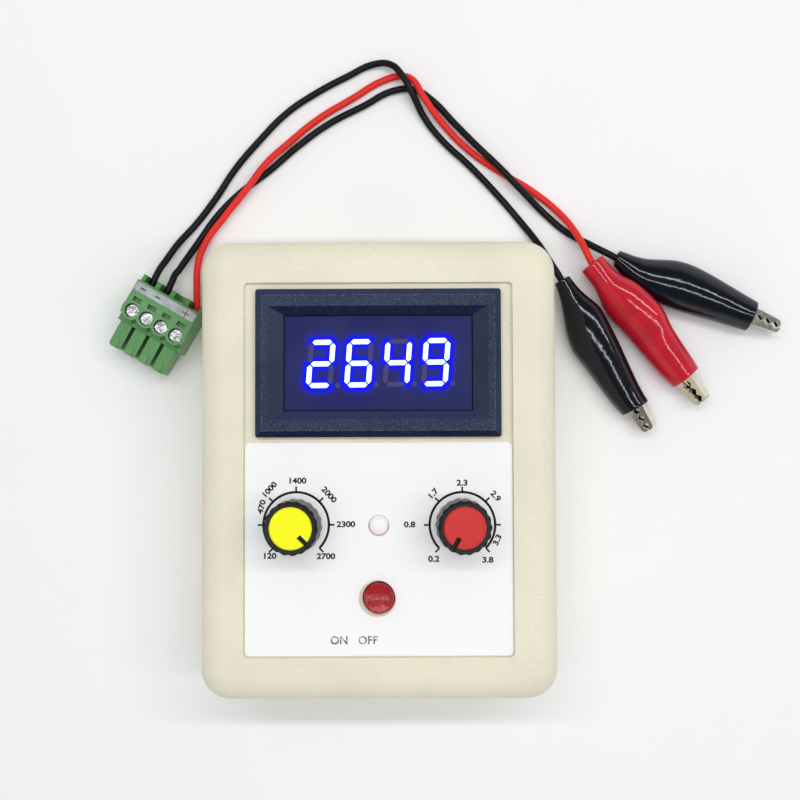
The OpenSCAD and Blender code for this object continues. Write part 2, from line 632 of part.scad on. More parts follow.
WIRE_THREE = [[-47.3, 33.4, 4], [-44.8, 38.6, 4], [-44, 40.5, 3.8], [-43.7, 41.4, 3.4], [-43, 42.3, 3.1],
    [-42.2, 43.6, 2.7], [-39, 48.7, 1.1], [-35, 54.4, 0.8], [-30.3, 59.2, 0.8], [-23.9, 64.1, 0.8],
    [-17.5, 69.6, 0.8], [-11, 74.3, 0.8], [-3.5, 78.2, 0.8], [3.3, 81.6, 0.8], [7.8, 81.7, 0.8],
    [11.2, 79.6, 0.8], [16.1, 74.4, 1.1], [21, 69.1, 2.1], [25.9, 64.2, 2.7], [30.5, 59.4, 2.4],
    [35.4, 54.7, 0.9], [39.9, 50.8, 0.9], [45.5, 47.2, 3.3], [48.6, 45.5, 3.9], [50.8, 44.3, 4],
    [57.2, 41.5, 3.9]];
module wire_one() { color([0.14, 0.15, 0.17]) tube(WIRE_ONE, wire_diameter); }
module wire_two() { color([0.9, 0.2, 0.2]) tube(WIRE_TWO, wire_diameter); }
module wire_three() { color([0.14, 0.15, 0.17]) tube(WIRE_THREE, wire_diameter); }

// boots: a shell swept along the clip; each row is place, left, right and height radius
BOOT = [[0, 2.3, 2.3, 2.3], [3, 2.35, 2.6, 2.3], [5.5, 2.6, 3.5, 2.5], [8.5, 3.6, 4.4, 3.1], [12, 4.7, 4.8, 3.6],
    [15.5, 5.2, 4.8, 3.75], [18.8, 4.9, 4.7, 3.75], [22.5, 4.4, 4.3, 3.6], [26.5, 3.95, 3.95, 3.5], [31.5, 3.4, 3.4, 3.3]];
boot_sides = 16;
function boot_ring(row, g) = [for (k = [0:boot_sides - 1]) let (a = 360*k/boot_sides)
    [row[0]*boot_length/31.5, (cos(a) > 0 ? row[1] - g : row[2] - g)*cos(a), (row[3] - g)*sin(a)]];
module boot_shell() {
    n = len(BOOT); m = boot_sides;
    outer = [for (r = BOOT) each boot_ring(r, 0)];
    inner = [for (r = BOOT) each boot_ring(r, boot_wall)];
    o = n*m;
    polyhedron(points = concat(outer, inner),
        faces = concat(
            [for (i = [0:n - 2], k = [0:m - 1]) [i*m + k, i*m + (k + 1) % m, (i + 1)*m + (k + 1) % m, (i + 1)*m + k]],
            [for (i = [0:n - 2], k = [0:m - 1]) [o + i*m + k, o + (i + 1)*m + k, o + (i + 1)*m + (k + 1) % m, o + i*m + (k + 1) % m]],
            [for (k = [0:m - 1]) [k, o + k, o + (k + 1) % m, (k + 1) % m]],
            [for (k = [0:m - 1]) [(n - 1)*m + k, (n - 1)*m + (k + 1) % m, o + (n - 1)*m + (k + 1) % m, o + (n - 1)*m + k]]));
}

// clips: x forward to the tip, y the way the moving jaw opens, z along the hinge
hinge_x = 20;
tooth = jaw_reach*0.72/jaw_teeth;
tip_x = hinge_x + jaw_reach;
function jaw_rise(x) = 2.55 - 1.15*(x - hinge_x)/jaw_reach;
// outline of a jaw: nose, teeth on the inner side, ear at the hinge and handle to the rear
module jaw_outline(handle_x, handle_y) {
    polygon(concat(
        [[handle_x, handle_y], [handle_x + 2, handle_y + 0.25], [hinge_x - 2, 2.9], [hinge_x + 3, jaw_rise(hinge_x)],
         [tip_x - 0.5, jaw_rise(tip_x)], [tip_x, jaw_rise(tip_x) - 0.5], [tip_x, jaw_gap/2 + 0.1]],
        [for (k = [0:jaw_teeth - 1]) each [
            [tip_x - 0.3 - k*tooth, jaw_gap/2], [tip_x - 0.3 - (k + 0.5)*tooth, jaw_gap/2 + 0.7]]],
        [[tip_x - 0.3 - jaw_teeth*tooth, jaw_gap/2 + 0.3], [hinge_x + 2.2, 0.6], [hinge_x + 1.6, -1.2],
         [hinge_x - 1.6, -1.2], [hinge_x - 3, 0.9], [handle_x + 1, handle_y - 0.9]]));
}
module jaw_hollow(handle_x, handle_y) {
    polygon([[handle_x - 1, handle_y - 0.4], [handle_x + 2, handle_y - 0.25], [hinge_x - 2, 2.9 - jaw_sheet],
        [hinge_x + 3, jaw_rise(hinge_x) - jaw_sheet], [tip_x - 0.6, jaw_rise(tip_x) - jaw_sheet], [tip_x + 1, 0.4],
        [tip_x + 1, -3], [handle_x - 1, -3]]);
}
module jaw(handle_x, handle_y, w) {
    difference() {
        translate([0, 0, -w/2]) linear_extrude(w) jaw_outline(handle_x, handle_y);
        translate([0, 0, -w/2 + jaw_sheet]) linear_extrude(w - 2*jaw_sheet) jaw_hollow(handle_x, handle_y);
        translate([hinge_x, 0, -5]) cylinder(d = hinge_pin + 0.1, h = 10);
    }
}
module fixed_jaw() {
    mirror([0, 1, 0]) jaw(11, 3.1, jaw_width);
    // barrel that grips the wire
    translate([5.2, 0, 0]) rotate([0, 90, 0]) difference() {
        cylinder(d = wire_diameter + 1.2, h = 3, $fn = 20);
        translate([0, 0, -1]) cylinder(d = wire_diameter + 0.4, h = 5, $fn = 20);
    }
    translate([7.6, -3.1, -0.9]) cube([4.4, 0.5, 1.8]);
    translate([7.6, -3.1, -0.9]) cube([0.5, 2.4, 1.8]);
}
module moving_jaw() { jaw(13, 3.5, jaw_width - 2*jaw_sheet - 0.12); }
module jaw_pin() {
    translate([hinge_x, 0, -jaw_width/2 - 0.3]) cylinder(d = hinge_pin, h = jaw_width + 0.6);
}
module jaw_spring() {
    // coil on the pin with an arm under each handle
    coil = hinge_pin/2 + 0.35;
    difference() {
        translate([hinge_x, 0, -0.6]) cylinder(r = coil + 0.2, h = 1.2);
        translate([hinge_x, 0, -1]) cylinder(r = coil - 0.25, h = 2);
    }
    for (s = [-1, 1]) translate([hinge_x, s*(coil - 0.05), s*0.35]) rotate([0, -90, -s*12]) cylinder(r = 0.2, h = 5, $fn = 12);
}
// place, heading, dip, roll, side of the moving jaw, swing and slide of the metal in its boot
CLIPS = [[[38.7, 39.9, 4.55], -60.4, 1.5, 28, -1, -1.5, -0.8], [[45, 43.3, 5], -50.9, 2, 40, 1, 0, 0],
    [[50.3, 44.5, 4.05], -23.4, 1, 0, 1, 0, 0]];
module on_clip(i, metal) {
    c = CLIPS[i];
    translate(c[0]) rotate([0, 0, c[1]]) rotate([0, c[2], 0]) rotate([c[3], 0, 0]) scale([1, c[4], 1])
        translate([metal ? hinge_x + c[6] : 0, 0, 0]) rotate([0, 0, metal ? c[5] : 0]) translate([metal ? -hinge_x : 0, 0, 0])
            children();
}
module boot_one() { color([0.1, 0.12, 0.18]) on_clip(0, false) boot_shell(); }
module boot_two() { color([0.82, 0.11, 0.19]) on_clip(1, false) boot_shell(); }
module boot_three() { color([0.1, 0.12, 0.16]) on_clip(2, false) boot_shell(); }
module fixed_jaw_one() { color([0.78, 0.76, 0.7]) on_clip(0, true) fixed_jaw(); }
module fixed_jaw_two() { color([0.78, 0.76, 0.7]) on_clip(1, true) fixed_jaw(); }
module fixed_jaw_three() { color([0.78, 0.76, 0.7]) on_clip(2, true) fixed_jaw(); }
module moving_jaw_one() { color([0.78, 0.76, 0.7]) on_clip(0, true) moving_jaw(); }
module moving_jaw_two() { color([0.78, 0.76, 0.7]) on_clip(1, true) moving_jaw(); }
module moving_jaw_three() { color([0.78, 0.76, 0.7]) on_clip(2, true) moving_jaw(); }
module hinge_pin_one() { color([0.7, 0.7, 0.68]) on_clip(0, true) jaw_pin(); }
module hinge_pin_two() { color([0.7, 0.7, 0.68]) on_clip(1, true) jaw_pin(); }
module hinge_pin_three() { color([0.7, 0.7, 0.68]) on_clip(2, true) jaw_pin(); }
module jaw_spring_one() { color([0.6, 0.6, 0.6]) on_clip(0, true) jaw_spring(); }
module jaw_spring_two() { color([0.6, 0.6, 0.6]) on_clip(1, true) jaw_spring(); }
module jaw_spring_three() { color([0.6, 0.6, 0.6]) on_clip(2, true) jaw_spring(); }

top_shell();
bottom_shell();
case_screws();
main_board();
board_screws();
front_label();
meter_bezel();
meter_window();
meter_digit_block();
meter_lit_segments();
meter_dark_segments();
meter_board();
indicator_lens();
indicator_spacer();
start_switch_body();
voltage_pot();
current_pot();
usb_socket_shell();
usb_socket_tongue();
power_switch_body();
lead_socket();
lead_socket_pins();
voltage_knob();
voltage_knob_cap();
voltage_shaft();
current_knob();
current_knob_cap();
current_shaft();
start_button();
start_plunger();
power_switch_lever();
plug_housing();
plug_screws();
plug_clamps();
plug_marker_strip();
wire_one();
wire_two();
wire_three();
boot_one();
boot_two();
boot_three();
fixed_jaw_one();
fixed_jaw_two();
fixed_jaw_three();
moving_jaw_one();
moving_jaw_two();
moving_jaw_three();
hinge_pin_one();
hinge_pin_two();
hinge_pin_three();
jaw_spring_one();
jaw_spring_two();
jaw_spring_three();
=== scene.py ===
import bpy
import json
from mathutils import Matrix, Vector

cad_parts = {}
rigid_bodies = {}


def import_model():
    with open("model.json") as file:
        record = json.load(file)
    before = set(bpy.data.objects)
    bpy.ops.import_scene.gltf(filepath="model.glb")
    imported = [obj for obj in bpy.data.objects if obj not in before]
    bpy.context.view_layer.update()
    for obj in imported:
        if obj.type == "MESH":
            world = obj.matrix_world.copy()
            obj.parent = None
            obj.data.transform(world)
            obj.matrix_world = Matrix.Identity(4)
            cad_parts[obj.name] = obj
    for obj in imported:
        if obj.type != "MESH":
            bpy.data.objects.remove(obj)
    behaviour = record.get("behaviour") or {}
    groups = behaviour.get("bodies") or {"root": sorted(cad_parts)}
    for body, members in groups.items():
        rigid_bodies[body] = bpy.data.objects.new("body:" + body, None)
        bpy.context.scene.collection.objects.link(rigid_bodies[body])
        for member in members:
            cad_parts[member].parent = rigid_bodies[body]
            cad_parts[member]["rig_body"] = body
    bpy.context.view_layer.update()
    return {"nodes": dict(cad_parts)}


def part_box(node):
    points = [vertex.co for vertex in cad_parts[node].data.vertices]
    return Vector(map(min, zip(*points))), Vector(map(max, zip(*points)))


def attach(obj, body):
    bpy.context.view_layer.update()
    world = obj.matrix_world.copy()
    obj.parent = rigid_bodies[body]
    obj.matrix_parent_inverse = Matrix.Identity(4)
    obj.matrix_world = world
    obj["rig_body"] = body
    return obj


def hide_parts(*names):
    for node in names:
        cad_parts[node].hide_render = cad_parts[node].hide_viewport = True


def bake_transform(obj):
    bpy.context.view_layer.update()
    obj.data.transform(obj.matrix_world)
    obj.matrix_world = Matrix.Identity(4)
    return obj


bl_info = {
    "name": "Component Tester Look",
    "version": (1, 0, 0),
    "blender": (4, 5, 0),
    "location": "3D View > Sidebar > Tester",
    "description": "Dresses the component tester and its lead set",
    "category": "Object",
}

import json
import math

import bmesh
import bpy
from mathutils import Matrix, Vector

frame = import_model()


def centre_of(node):
    low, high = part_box(node)
    return (low + high) / 2


MM = 0.001
MERGE = 0.002 * MM                              # corners closer than this are one corner
SMOOTH_ANGLE = math.radians(32)                 # edges blunter than this are rounds
LABEL_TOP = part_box("front_label")[1].z
PRINT_LIFT = 0.02 * MM                          # height of printed and drawn lines over what they are on
KNOB_X, KNOB_Y, _ = centre_of("current_knob_cap")
INDICATOR_Y = centre_of("indicator_lens").y
METER_Y = centre_of("meter_bezel").y
DIGIT_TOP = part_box("meter_lit_segments")[1].z

# routes of the three wires, in metres, from the clamp in the plug to the barrel in the clip
ROUTES = {
    "one": ("black", (
        (-0.05025, 0.03505, 0.004), (-0.04785, 0.04065, 0.0039), (-0.0469, 0.0427, 0.0034),
        (-0.0458, 0.0444, 0.0029), (-0.0434, 0.0481, 0.0019), (-0.0398, 0.0524, 0.0008),
        (-0.0355, 0.058, 0.0008), (-0.031, 0.0648, 0.0008), (-0.0259, 0.0708, 0.0008),
        (-0.0201, 0.0767, 0.0008), (-0.0143, 0.0807, 0.0008), (-0.0067, 0.0848, 0.0008),
        (-0.001, 0.0873, 0.0011), (0.0024, 0.0869, 0.0023), (0.0047, 0.0846, 0.0031),
        (0.007, 0.0806, 0.0029), (0.0096, 0.0757, 0.0011), (0.0135, 0.0707, 0.0008),
        (0.0195, 0.065, 0.0008), (0.0254, 0.0587, 0.0008), (0.0307, 0.0524, 0.0008),
        (0.0339, 0.048, 0.0021), (0.0365, 0.0433, 0.0043), (0.0381, 0.0406, 0.0048),
        (0.0396, 0.0378, 0.0043), (0.04175, 0.03395, 0.0042))),
    "two": ("red", (
        (-0.0413, 0.0299, 0.004), (-0.0392, 0.0332, 0.004), (-0.03895, 0.0352, 0.0039),
        (-0.0391, 0.0379, 0.003), (-0.0389, 0.0442, 0.0022), (-0.0374, 0.0484, 0.002),
        (-0.0333, 0.054, 0.0022), (-0.0285, 0.0599, 0.0027), (-0.0244, 0.0654, 0.0025),
        (-0.0198, 0.07, 0.0011), (-0.0134, 0.0753, 0.0008), (-0.0058, 0.0799, 0.0008),
        (0.0009, 0.0838, 0.0008), (0.005, 0.0847, 0.0009), (0.0073, 0.0834, 0.0023),
        (0.0094, 0.0798, 0.0028), (0.0138, 0.0741, 0.0011), (0.0193, 0.0685, 0.0008),
        (0.0256, 0.064, 0.0008), (0.0329, 0.0595, 0.0008), (0.0382, 0.0551, 0.0012),
        (0.0411, 0.0512, 0.0032), (0.0434, 0.0468, 0.0049), (0.0444, 0.0446, 0.0051),
        (0.0454, 0.0427, 0.005), (0.0497, 0.0375, 0.0047))),
    "three": ("black", (
        (-0.0473, 0.0334, 0.004), (-0.0448, 0.0386, 0.004), (-0.044, 0.0405, 0.0038),
        (-0.0437, 0.0414, 0.0034), (-0.043, 0.0423, 0.0031), (-0.0422, 0.0436, 0.0027),
        (-0.039, 0.0487, 0.0011), (-0.035, 0.0544, 0.0008), (-0.0303, 0.0592, 0.0008),
        (-0.0239, 0.0641, 0.0008), (-0.0175, 0.0696, 0.0008), (-0.011, 0.0743, 0.0008),
        (-0.0035, 0.0782, 0.0008), (0.0033, 0.0816, 0.0008), (0.0078, 0.0817, 0.0008),
        (0.0112, 0.0796, 0.0008), (0.0161, 0.0744, 0.0011), (0.021, 0.0691, 0.0021),
        (0.0259, 0.0642, 0.0027), (0.0305, 0.0594, 0.0024), (0.0354, 0.0547, 0.0009),
        (0.0399, 0.0508, 0.0009), (0.0455, 0.0472, 0.0033), (0.0486, 0.0455, 0.0039),
        (0.0508, 0.0443, 0.004), (0.0572, 0.0415, 0.0039))),
}

# how each clip lies: rear end in millimetres, heading, dip and roll in degrees, side of the moving jaw,
# and its boot's left, right and up-and-down radii in millimetres at the steps along it
BOOT_STEPS = (0, 0.4, 3, 5.5, 8.5, 11.5, 14.5, 17.5, 20.5, 24, 28, 31.1, 31.5)
CLIP_LAY = {
    "one": {"colour": "black", "rear": (38.7, 39.9, 4.55), "heading": -60.4, "dip": 1.5, "roll": 28, "side": -1,
            "left": (1.75, 1.8, 2.1, 2.85, 4.35, 4.3, 4.2, 4.0, 3.7, 3.35, 3.0, 3.1, 3.1),
            "right": (1.75, 1.8, 2.3, 3.2, 4.5, 5.55, 6.1, 5.5, 5.1, 4.7, 4.15, 3.35, 3.3),
            "high": (2.0, 2.0, 2.1, 2.5, 3.1, 3.6, 3.75, 3.7, 3.6, 3.5, 3.35, 3.25, 3.2)},
    "two": {"colour": "red", "rear": (45, 43.3, 5), "heading": -50.9, "dip": 2, "roll": 40, "side": 1,
            "left": (2.85, 2.85, 2.85, 3.1, 5.0, 5.6, 6.0, 6.1, 4.95, 4.45, 4.1, 3.6, 3.5),
            "right": (2.9, 2.9, 2.9, 3.1, 4.55, 4.95, 4.5, 4.35, 4.3, 4.2, 3.95, 3.4, 3.3),
            "high": (2.7, 2.7, 2.7, 2.8, 3.3, 3.6, 3.7, 3.65, 3.6, 3.6, 3.5, 3.4, 3.3)},
    "three": {"colour": "black", "rear": (50.3, 44.5, 4.05), "heading": -23.4, "dip": 1, "roll": 0, "side": 1,
              "left": (1.8, 1.85, 1.95, 2.25, 3.35, 4.65, 5.15, 5.1, 4.8, 4.35, 3.75, 3.4, 3.3),
              "right": (1.75, 1.9, 3.1, 4.2, 5.05, 5.4, 5.4, 5.2, 4.75, 4.3, 3.8, 3.5, 3.45),
              "high": (2.0, 2.0, 2.1, 2.5, 3.1, 3.6, 3.75, 3.7, 3.6, 3.5, 3.35, 3.25, 3.2)},
}


def clip_frame(clip):
    """The clip's own frame: X along it to the tip, Z along its hinge when it isn't rolled."""
    turn = (Matrix.Rotation(math.radians(clip["heading"]), 4, "Z")
            @ Matrix.Rotation(math.radians(clip["dip"]), 4, "Y")
            @ Matrix.Rotation(math.radians(clip["roll"]), 4, "X"))
    return Matrix.Translation(Vector(clip["rear"]) * MM) @ turn


# ---------------------------------------------------------------- settings

class TESTER_PG_view(bpy.types.PropertyGroup):
    place: bpy.props.FloatVectorProperty(
        name="Eye", description="Place of the eye above the table", size=3,
        default=(0.00446, 0.00178, 0.30223), unit="LENGTH")
    turn: bpy.props.FloatVectorProperty(
        name="Turn", description="Turn of the camera about X, Y and Z", size=3,
        default=(0.0424, 0.0010, -0.0037), subtype="EULER")
    lens: bpy.props.FloatProperty(
        name="Lens", description="Focal length on a 36 mm wide frame, in millimetres", default=63.32, min=10)


class TESTER_PG_stage(bpy.types.PropertyGroup):
    floor_colour: bpy.props.FloatVectorProperty(
        name="Floor colour", description="Colour of the table top", subtype="COLOR", size=3,
        default=(0.94, 0.94, 0.945))
    floor_half: bpy.props.FloatProperty(
        name="Floor reach", description="Half the side of the table top", default=0.5, unit="LENGTH")
    tube_power: bpy.props.FloatProperty(
        name="Tube lamps", description="Power of a long lamp overhead, in watts, before the two are balanced",
        default=2.3, min=0)
    tube_height: bpy.props.FloatProperty(
        name="Tube height", description="Height of the long lamps above the table", default=0.8,
        unit="LENGTH")
    room_light: bpy.props.FloatProperty(
        name="Room light", description="Strength of the even light of the room", default=0.49, min=0)
    ceiling_light: bpy.props.FloatProperty(
        name="Ceiling", description="Brightness of the ceiling straight above, where the walls are 1",
        default=0.14, min=0)


class TESTER_PG_wires(bpy.types.PropertyGroup):
    diameter: bpy.props.FloatProperty(
        name="Wire diameter", description="Outer diameter of a lead", default=0.0015, unit="LENGTH")
    black: bpy.props.FloatVectorProperty(
        name="Black sheath", description="Colour of the two dark leads", subtype="COLOR", size=3,
        default=(0.006, 0.007, 0.009))
    red: bpy.props.FloatVectorProperty(
        name="Red sheath", description="Colour of the red lead", subtype="COLOR", size=3,
        default=(0.80, 0.030, 0.024))


class TESTER_PG_boots(bpy.types.PropertyGroup):
    wall: bpy.props.FloatProperty(
        name="Boot wall", description="Thickness of the soft boot", default=0.0006, unit="LENGTH")
    black: bpy.props.FloatVectorProperty(
        name="Black boot", description="Colour of the dark boots", subtype="COLOR", size=3,
        default=(0.003, 0.005, 0.011))
    red: bpy.props.FloatVectorProperty(
        name="Red boot", description="Colour of the red boot", subtype="COLOR", size=3,
        default=(0.59, 0.014, 0.032))


class TESTER_PG_case(bpy.types.PropertyGroup):
    cream: bpy.props.FloatVectorProperty(
        name="Case plastic", description="Colour of the moulded case", subtype="COLOR", size=3,
        default=(0.825, 0.782, 0.612))
    label: bpy.props.FloatVectorProperty(
        name="Label", description="Colour of the printed film", subtype="COLOR", size=3,
        default=(0.95, 0.952, 0.955))


class TESTER_PG_print(bpy.types.PropertyGroup):
    ink: bpy.props.FloatVectorProperty(
        name="Ink", description="Colour of the printing", subtype="COLOR", size=3,
        default=(0.004, 0.004, 0.005))
    arc_radius: bpy.props.FloatProperty(
        name="Dial radius", description="Radius of the arc round a knob", default=0.00638, unit="LENGTH")
    line: bpy.props.FloatProperty(
        name="Dial line", description="Width of the arc's line", default=0.00047, unit="LENGTH")
    tick: bpy.props.FloatProperty(
        name="Tick length", description="Length of a mark on the arc", default=0.0011, unit="LENGTH")
    tick_width: bpy.props.FloatProperty(
        name="Tick width", description="Width of a mark on the arc", default=0.00034, unit="LENGTH")
    number_size: bpy.props.FloatProperty(
        name="Number size", description="Type size of the dial's numbers", default=0.00155, unit="LENGTH")
    number_width: bpy.props.FloatProperty(
        name="Number width", description="How much wider the numbers are than the plain type", default=1.16)
    word_size: bpy.props.FloatProperty(
        name="Word size", description="Type size of the switch's words", default=0.0022, unit="LENGTH")


class TESTER_PG_meter(bpy.types.PropertyGroup):
    glow: bpy.props.FloatVectorProperty(
        name="Glow", description="Colour of the lit bars' halo", subtype="COLOR", size=3,
        default=(0.002, 0.004, 1.0))
    halo_reach: bpy.props.FloatProperty(
        name="Halo reach", description="Distance over which the halo fades", default=0.00076, unit="LENGTH")
    digit_pitch: bpy.props.FloatProperty(
        name="Digit pitch", description="Distance from one digit to the next", default=0.0075, unit="LENGTH")
    digit_height: bpy.props.FloatProperty(
        name="Digit height", description="Height of one digit", default=0.0094, unit="LENGTH")
    digit_gap: bpy.props.FloatProperty(
        name="Digit gap", description="Space between the upright bars of one digit and the next",
        default=0.00325, unit="LENGTH")
    digit_slant: bpy.props.FloatProperty(
        name="Digit slant", description="Slant of the digits", default=math.radians(5), subtype="ANGLE")
    digit_turn: bpy.props.FloatProperty(
        name="Digit turn", description="Turn of the row of digits in the window", default=math.radians(0.7),
        subtype="ANGLE")
    bar_width: bpy.props.FloatProperty(
        name="Bar width", description="Width of one lit bar", default=0.00095, unit="LENGTH")


# ---------------------------------------------------------------- shader helpers

class Value:
    """A shader socket with arithmetic: each operator adds its own Math node."""

    def __init__(self, nodes, socket):
        self.nodes, self.socket = nodes, socket

    def __add__(self, other): return self.nodes.math("ADD", self, other)
    def __radd__(self, other): return self.nodes.math("ADD", other, self)
    def __sub__(self, other): return self.nodes.math("SUBTRACT", self, other)
    def __rsub__(self, other): return self.nodes.math("SUBTRACT", other, self)
    def __mul__(self, other): return self.nodes.math("MULTIPLY", self, other)
    def __rmul__(self, other): return self.nodes.math("MULTIPLY", other, self)
    def __pow__(self, other): return self.nodes.math("POWER", self, other)
    def __abs__(self): return self.nodes.math("ABSOLUTE", self, 0.0)

    def smaller(self, other):
        return self.nodes.math("MINIMUM", self, other)

    def larger(self, other):
        return self.nodes.math("MAXIMUM", self, other)


class Nodes:
    """A node tree under construction."""

    def __init__(self, tree):
        self.tree = tree

    def put(self, socket, value):
        """Links a value to a socket, or sets the socket to a number or a colour."""
        if isinstance(value, Value):
            self.tree.links.new(value.socket, socket)
        elif socket.type == "RGBA" and len(value) == 3:
            socket.default_value = (*value, 1)
        else:
            socket.default_value = value

    def node(self, kind, settings=None, inputs=None, out=0):
        """Adds a node: its settings first, then the values or links of its sockets."""
        n = self.tree.nodes.new(kind)
        for key, value in (settings or {}).items():
            setattr(n, key, value)
        for key, value in (inputs or {}).items():
            self.put(n.inputs[key], value)
        return Value(self, n.outputs[out])

    def math(self, operation, a, b):
        return self.node("ShaderNodeMath", {"operation": operation}, {0: a, 1: b})

    def axes(self, kind="Object"):
        """The X, Y and Z of the object's own coordinates or, for a world, of the Generated direction."""
        place = self.node("ShaderNodeTexCoord", out=kind)
        split = self.node("ShaderNodeSeparateXYZ", None, {0: place})
        return [Value(self, socket) for socket in split.socket.node.outputs]

    def noise(self, scale, detail=2.0, roughness=0.5):
        return self.node("ShaderNodeTexNoise", None, {
            "Vector": self.node("ShaderNodeTexCoord", out="Object"),
            "Scale": scale, "Detail": detail, "Roughness": roughness})

    def cell_edges(self, scale):
        return self.node("ShaderNodeTexVoronoi", {"feature": "DISTANCE_TO_EDGE"}, {
            "Vector": self.node("ShaderNodeTexCoord", out="Object"), "Scale": scale})

    def ramp(self, value, low, high, a=0.0, b=1.0):
        return self.node("ShaderNodeMapRange", {"interpolation_type": "SMOOTHSTEP"}, {
            "Value": value, "From Min": low, "From Max": high, "To Min": a, "To Max": b})

    def mix(self, factor, a, b):
        """Colour a where the factor is 0 and b where it is 1."""
        return self.node("ShaderNodeMix", {"data_type": "RGBA"}, {0: factor, 6: a, 7: b}, out=2)

    def bump(self, height, strength, distance, under=None):
        inputs = {"Height": height, "Strength": strength, "Distance": distance}
        if under:
            inputs["Normal"] = under
        return self.node("ShaderNodeBump", None, inputs)


class Finish(Nodes):
    """A material under construction round one Principled shader."""

    def __init__(self, name, **fixed):
        self.material = bpy.data.materials.new(name)
        self.material.use_nodes = True
        super().__init__(self.material.node_tree)
        self.set(**fixed)

    def set(self, **sockets):
        """Sets or links the shader's sockets; a space in a socket's name is written as _."""
        shader = self.tree.nodes["Principled BSDF"]
        for name, value in sockets.items():
            self.put(shader.inputs[name.replace("_", " ")], value)


def shade(colour, factor):
    """A colour made lighter or darker."""
    return tuple(min(1.0, c * factor) for c in colour)


def moulded(name, colour, roughness, grain=5200, depth=0.000018, mottle=0.05, specks_and_glints=0.0, **fixed):
    """Moulded plastic: mottling, fine spark-eroded grain, a few patches worn smoother, dark specks, and light
    specks that are painted glints of the grain.
    """
    f = Finish(name, **fixed)
    wide = f.noise(60, 3, 0.6)
    fine = f.noise(grain, 3, 0.65)
    rubbed_and_edge_highlight = f.ramp(f.noise(240, 4, 0.7), 0.55, 0.78)
    tone = f.mix(f.ramp(wide, 0.3, 0.7), shade(colour, 1 - mottle), shade(colour, 1 + mottle * 0.6))
    tone = f.mix(f.ramp(fine, 0.35, 0.75, 0, 0.5), tone, shade(colour, 1 - mottle * 1.4))
    if specks_and_glints:
        # painted glints: light specks standing in for the grain catching light
        tone = f.mix(f.ramp(f.noise(grain * 0.85, 1, 0.5), 0.56, 0.68) * specks_and_glints, tone, shade(colour, 1.14))
        tone = f.mix(f.ramp(f.noise(grain * 0.7, 1, 0.5), 0.44, 0.32) * specks_and_glints, tone, shade(colour, 0.84))
    f.set(Base_Color=tone, Roughness=roughness + (fine - 0.5) * 0.10 - rubbed_and_edge_highlight * 0.05,
          Normal=f.bump(fine, 0.35, depth))
    return f.material


def plated(name, colour, roughness, painted_shade=None):
    """Plated metal: bright, finely pitted, with a dull bloom, and a painted shade, near black, wherever the
    given mask function is 1.
    """
    f = Finish(name, Metallic=1.0)
    pitted = f.noise(2600, 4, 0.6)
    bloom = f.noise(420, 4, 0.65)
    tone = f.mix(f.ramp(bloom, 0.35, 0.75), colour, shade(colour, 0.72))
    f.set(Base_Color=f.mix(painted_shade(f), tone, (0.016, 0.014, 0.012)) if painted_shade else tone,
          Roughness=roughness + (pitted - 0.5) * 0.22 + f.ramp(bloom, 0.45, 0.8, 0, 0.12),
          Normal=f.bump(pitted, 0.25, 0.000012))
    return f.material


def dress(material, *nodes):
    """Gives CAD nodes whose shape is right their material."""
    for name in nodes:
        for slot in frame["nodes"][name].material_slots:
            slot.material = material


def smoothed(material, slot, *nodes, angle=SMOOTH_ANGLE):
    """Merged copies of faceted nodes whose rounds are shaded smooth and whose flats stay flat."""
    for name in nodes:
        node = frame["nodes"][name]
        dress(material, name)
        piece = bpy.data.objects.new("smooth_" + name, node.data.copy())
        bpy.context.scene.collection.objects.link(piece)
        only(piece)
        bpy.ops.mesh.customdata_custom_splitnormals_clear()
        bpy.ops.object.mode_set(mode="EDIT")
        bpy.ops.mesh.select_mode(type="VERT")
        bpy.ops.mesh.select_all(action="SELECT")
        bpy.ops.mesh.remove_doubles(threshold=MERGE)
        bpy.ops.object.mode_set(mode="OBJECT")
        bpy.ops.object.shade_smooth_by_angle(angle=angle)
        weighted = piece.modifiers.new("flats", "WEIGHTED_NORMAL")
        weighted.keep_sharp = True
        bpy.ops.object.modifier_apply(modifier="flats")
        settle(piece, material, node["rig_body"])
        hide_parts(name)


# ---------------------------------------------------------------- making helpers

def deselect():
    """Leaves edit mode and selects nothing."""
    if bpy.context.mode != "OBJECT":
        bpy.ops.object.mode_set(mode="OBJECT")
    bpy.ops.object.select_all(action="DESELECT")


def only(obj):
    """Makes one object the selected and active one."""
    deselect()
    obj.select_set(True)
    bpy.context.view_layer.objects.active = obj


def settle(obj, material, body=None):
    """Applies the piece's place, gives it its finish and hangs it on its body."""
    only(obj)
    bpy.ops.object.transform_apply(location=True, rotation=True, scale=True)
    obj.data.materials.clear()
    obj.data.materials.append(material)
    if body:
        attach(obj, body)


def lettering(words, size, centre, turn=0.0, width=1.0, weight=0.036):
    """A flat word as a mesh, centred on a point of the label."""
    deselect()
    bpy.ops.object.text_add(location=(*centre, LABEL_TOP + PRINT_LIFT), rotation=(0, 0, math.radians(turn)))
    word = bpy.context.object
    word.data.body = words
    word.data.size = size
    word.data.align_x, word.data.align_y = "CENTER", "CENTER"
    word.data.offset = size * weight
    word.data.resolution_u = 6
    word.scale = (width, 1, 1)
    bpy.ops.object.convert(target="MESH")
    return bpy.context.object


def joined(parts, name):
    """One object of the given name, made of all the parts."""
    deselect()
    for part in parts:
        part.select_set(True)
    bpy.context.view_layer.objects.active = parts[0]
    bpy.ops.object.join()
    obj = bpy.context.object
    obj.name = obj.data.name = name
    return obj


# ---------------------------------------------------------------- operators

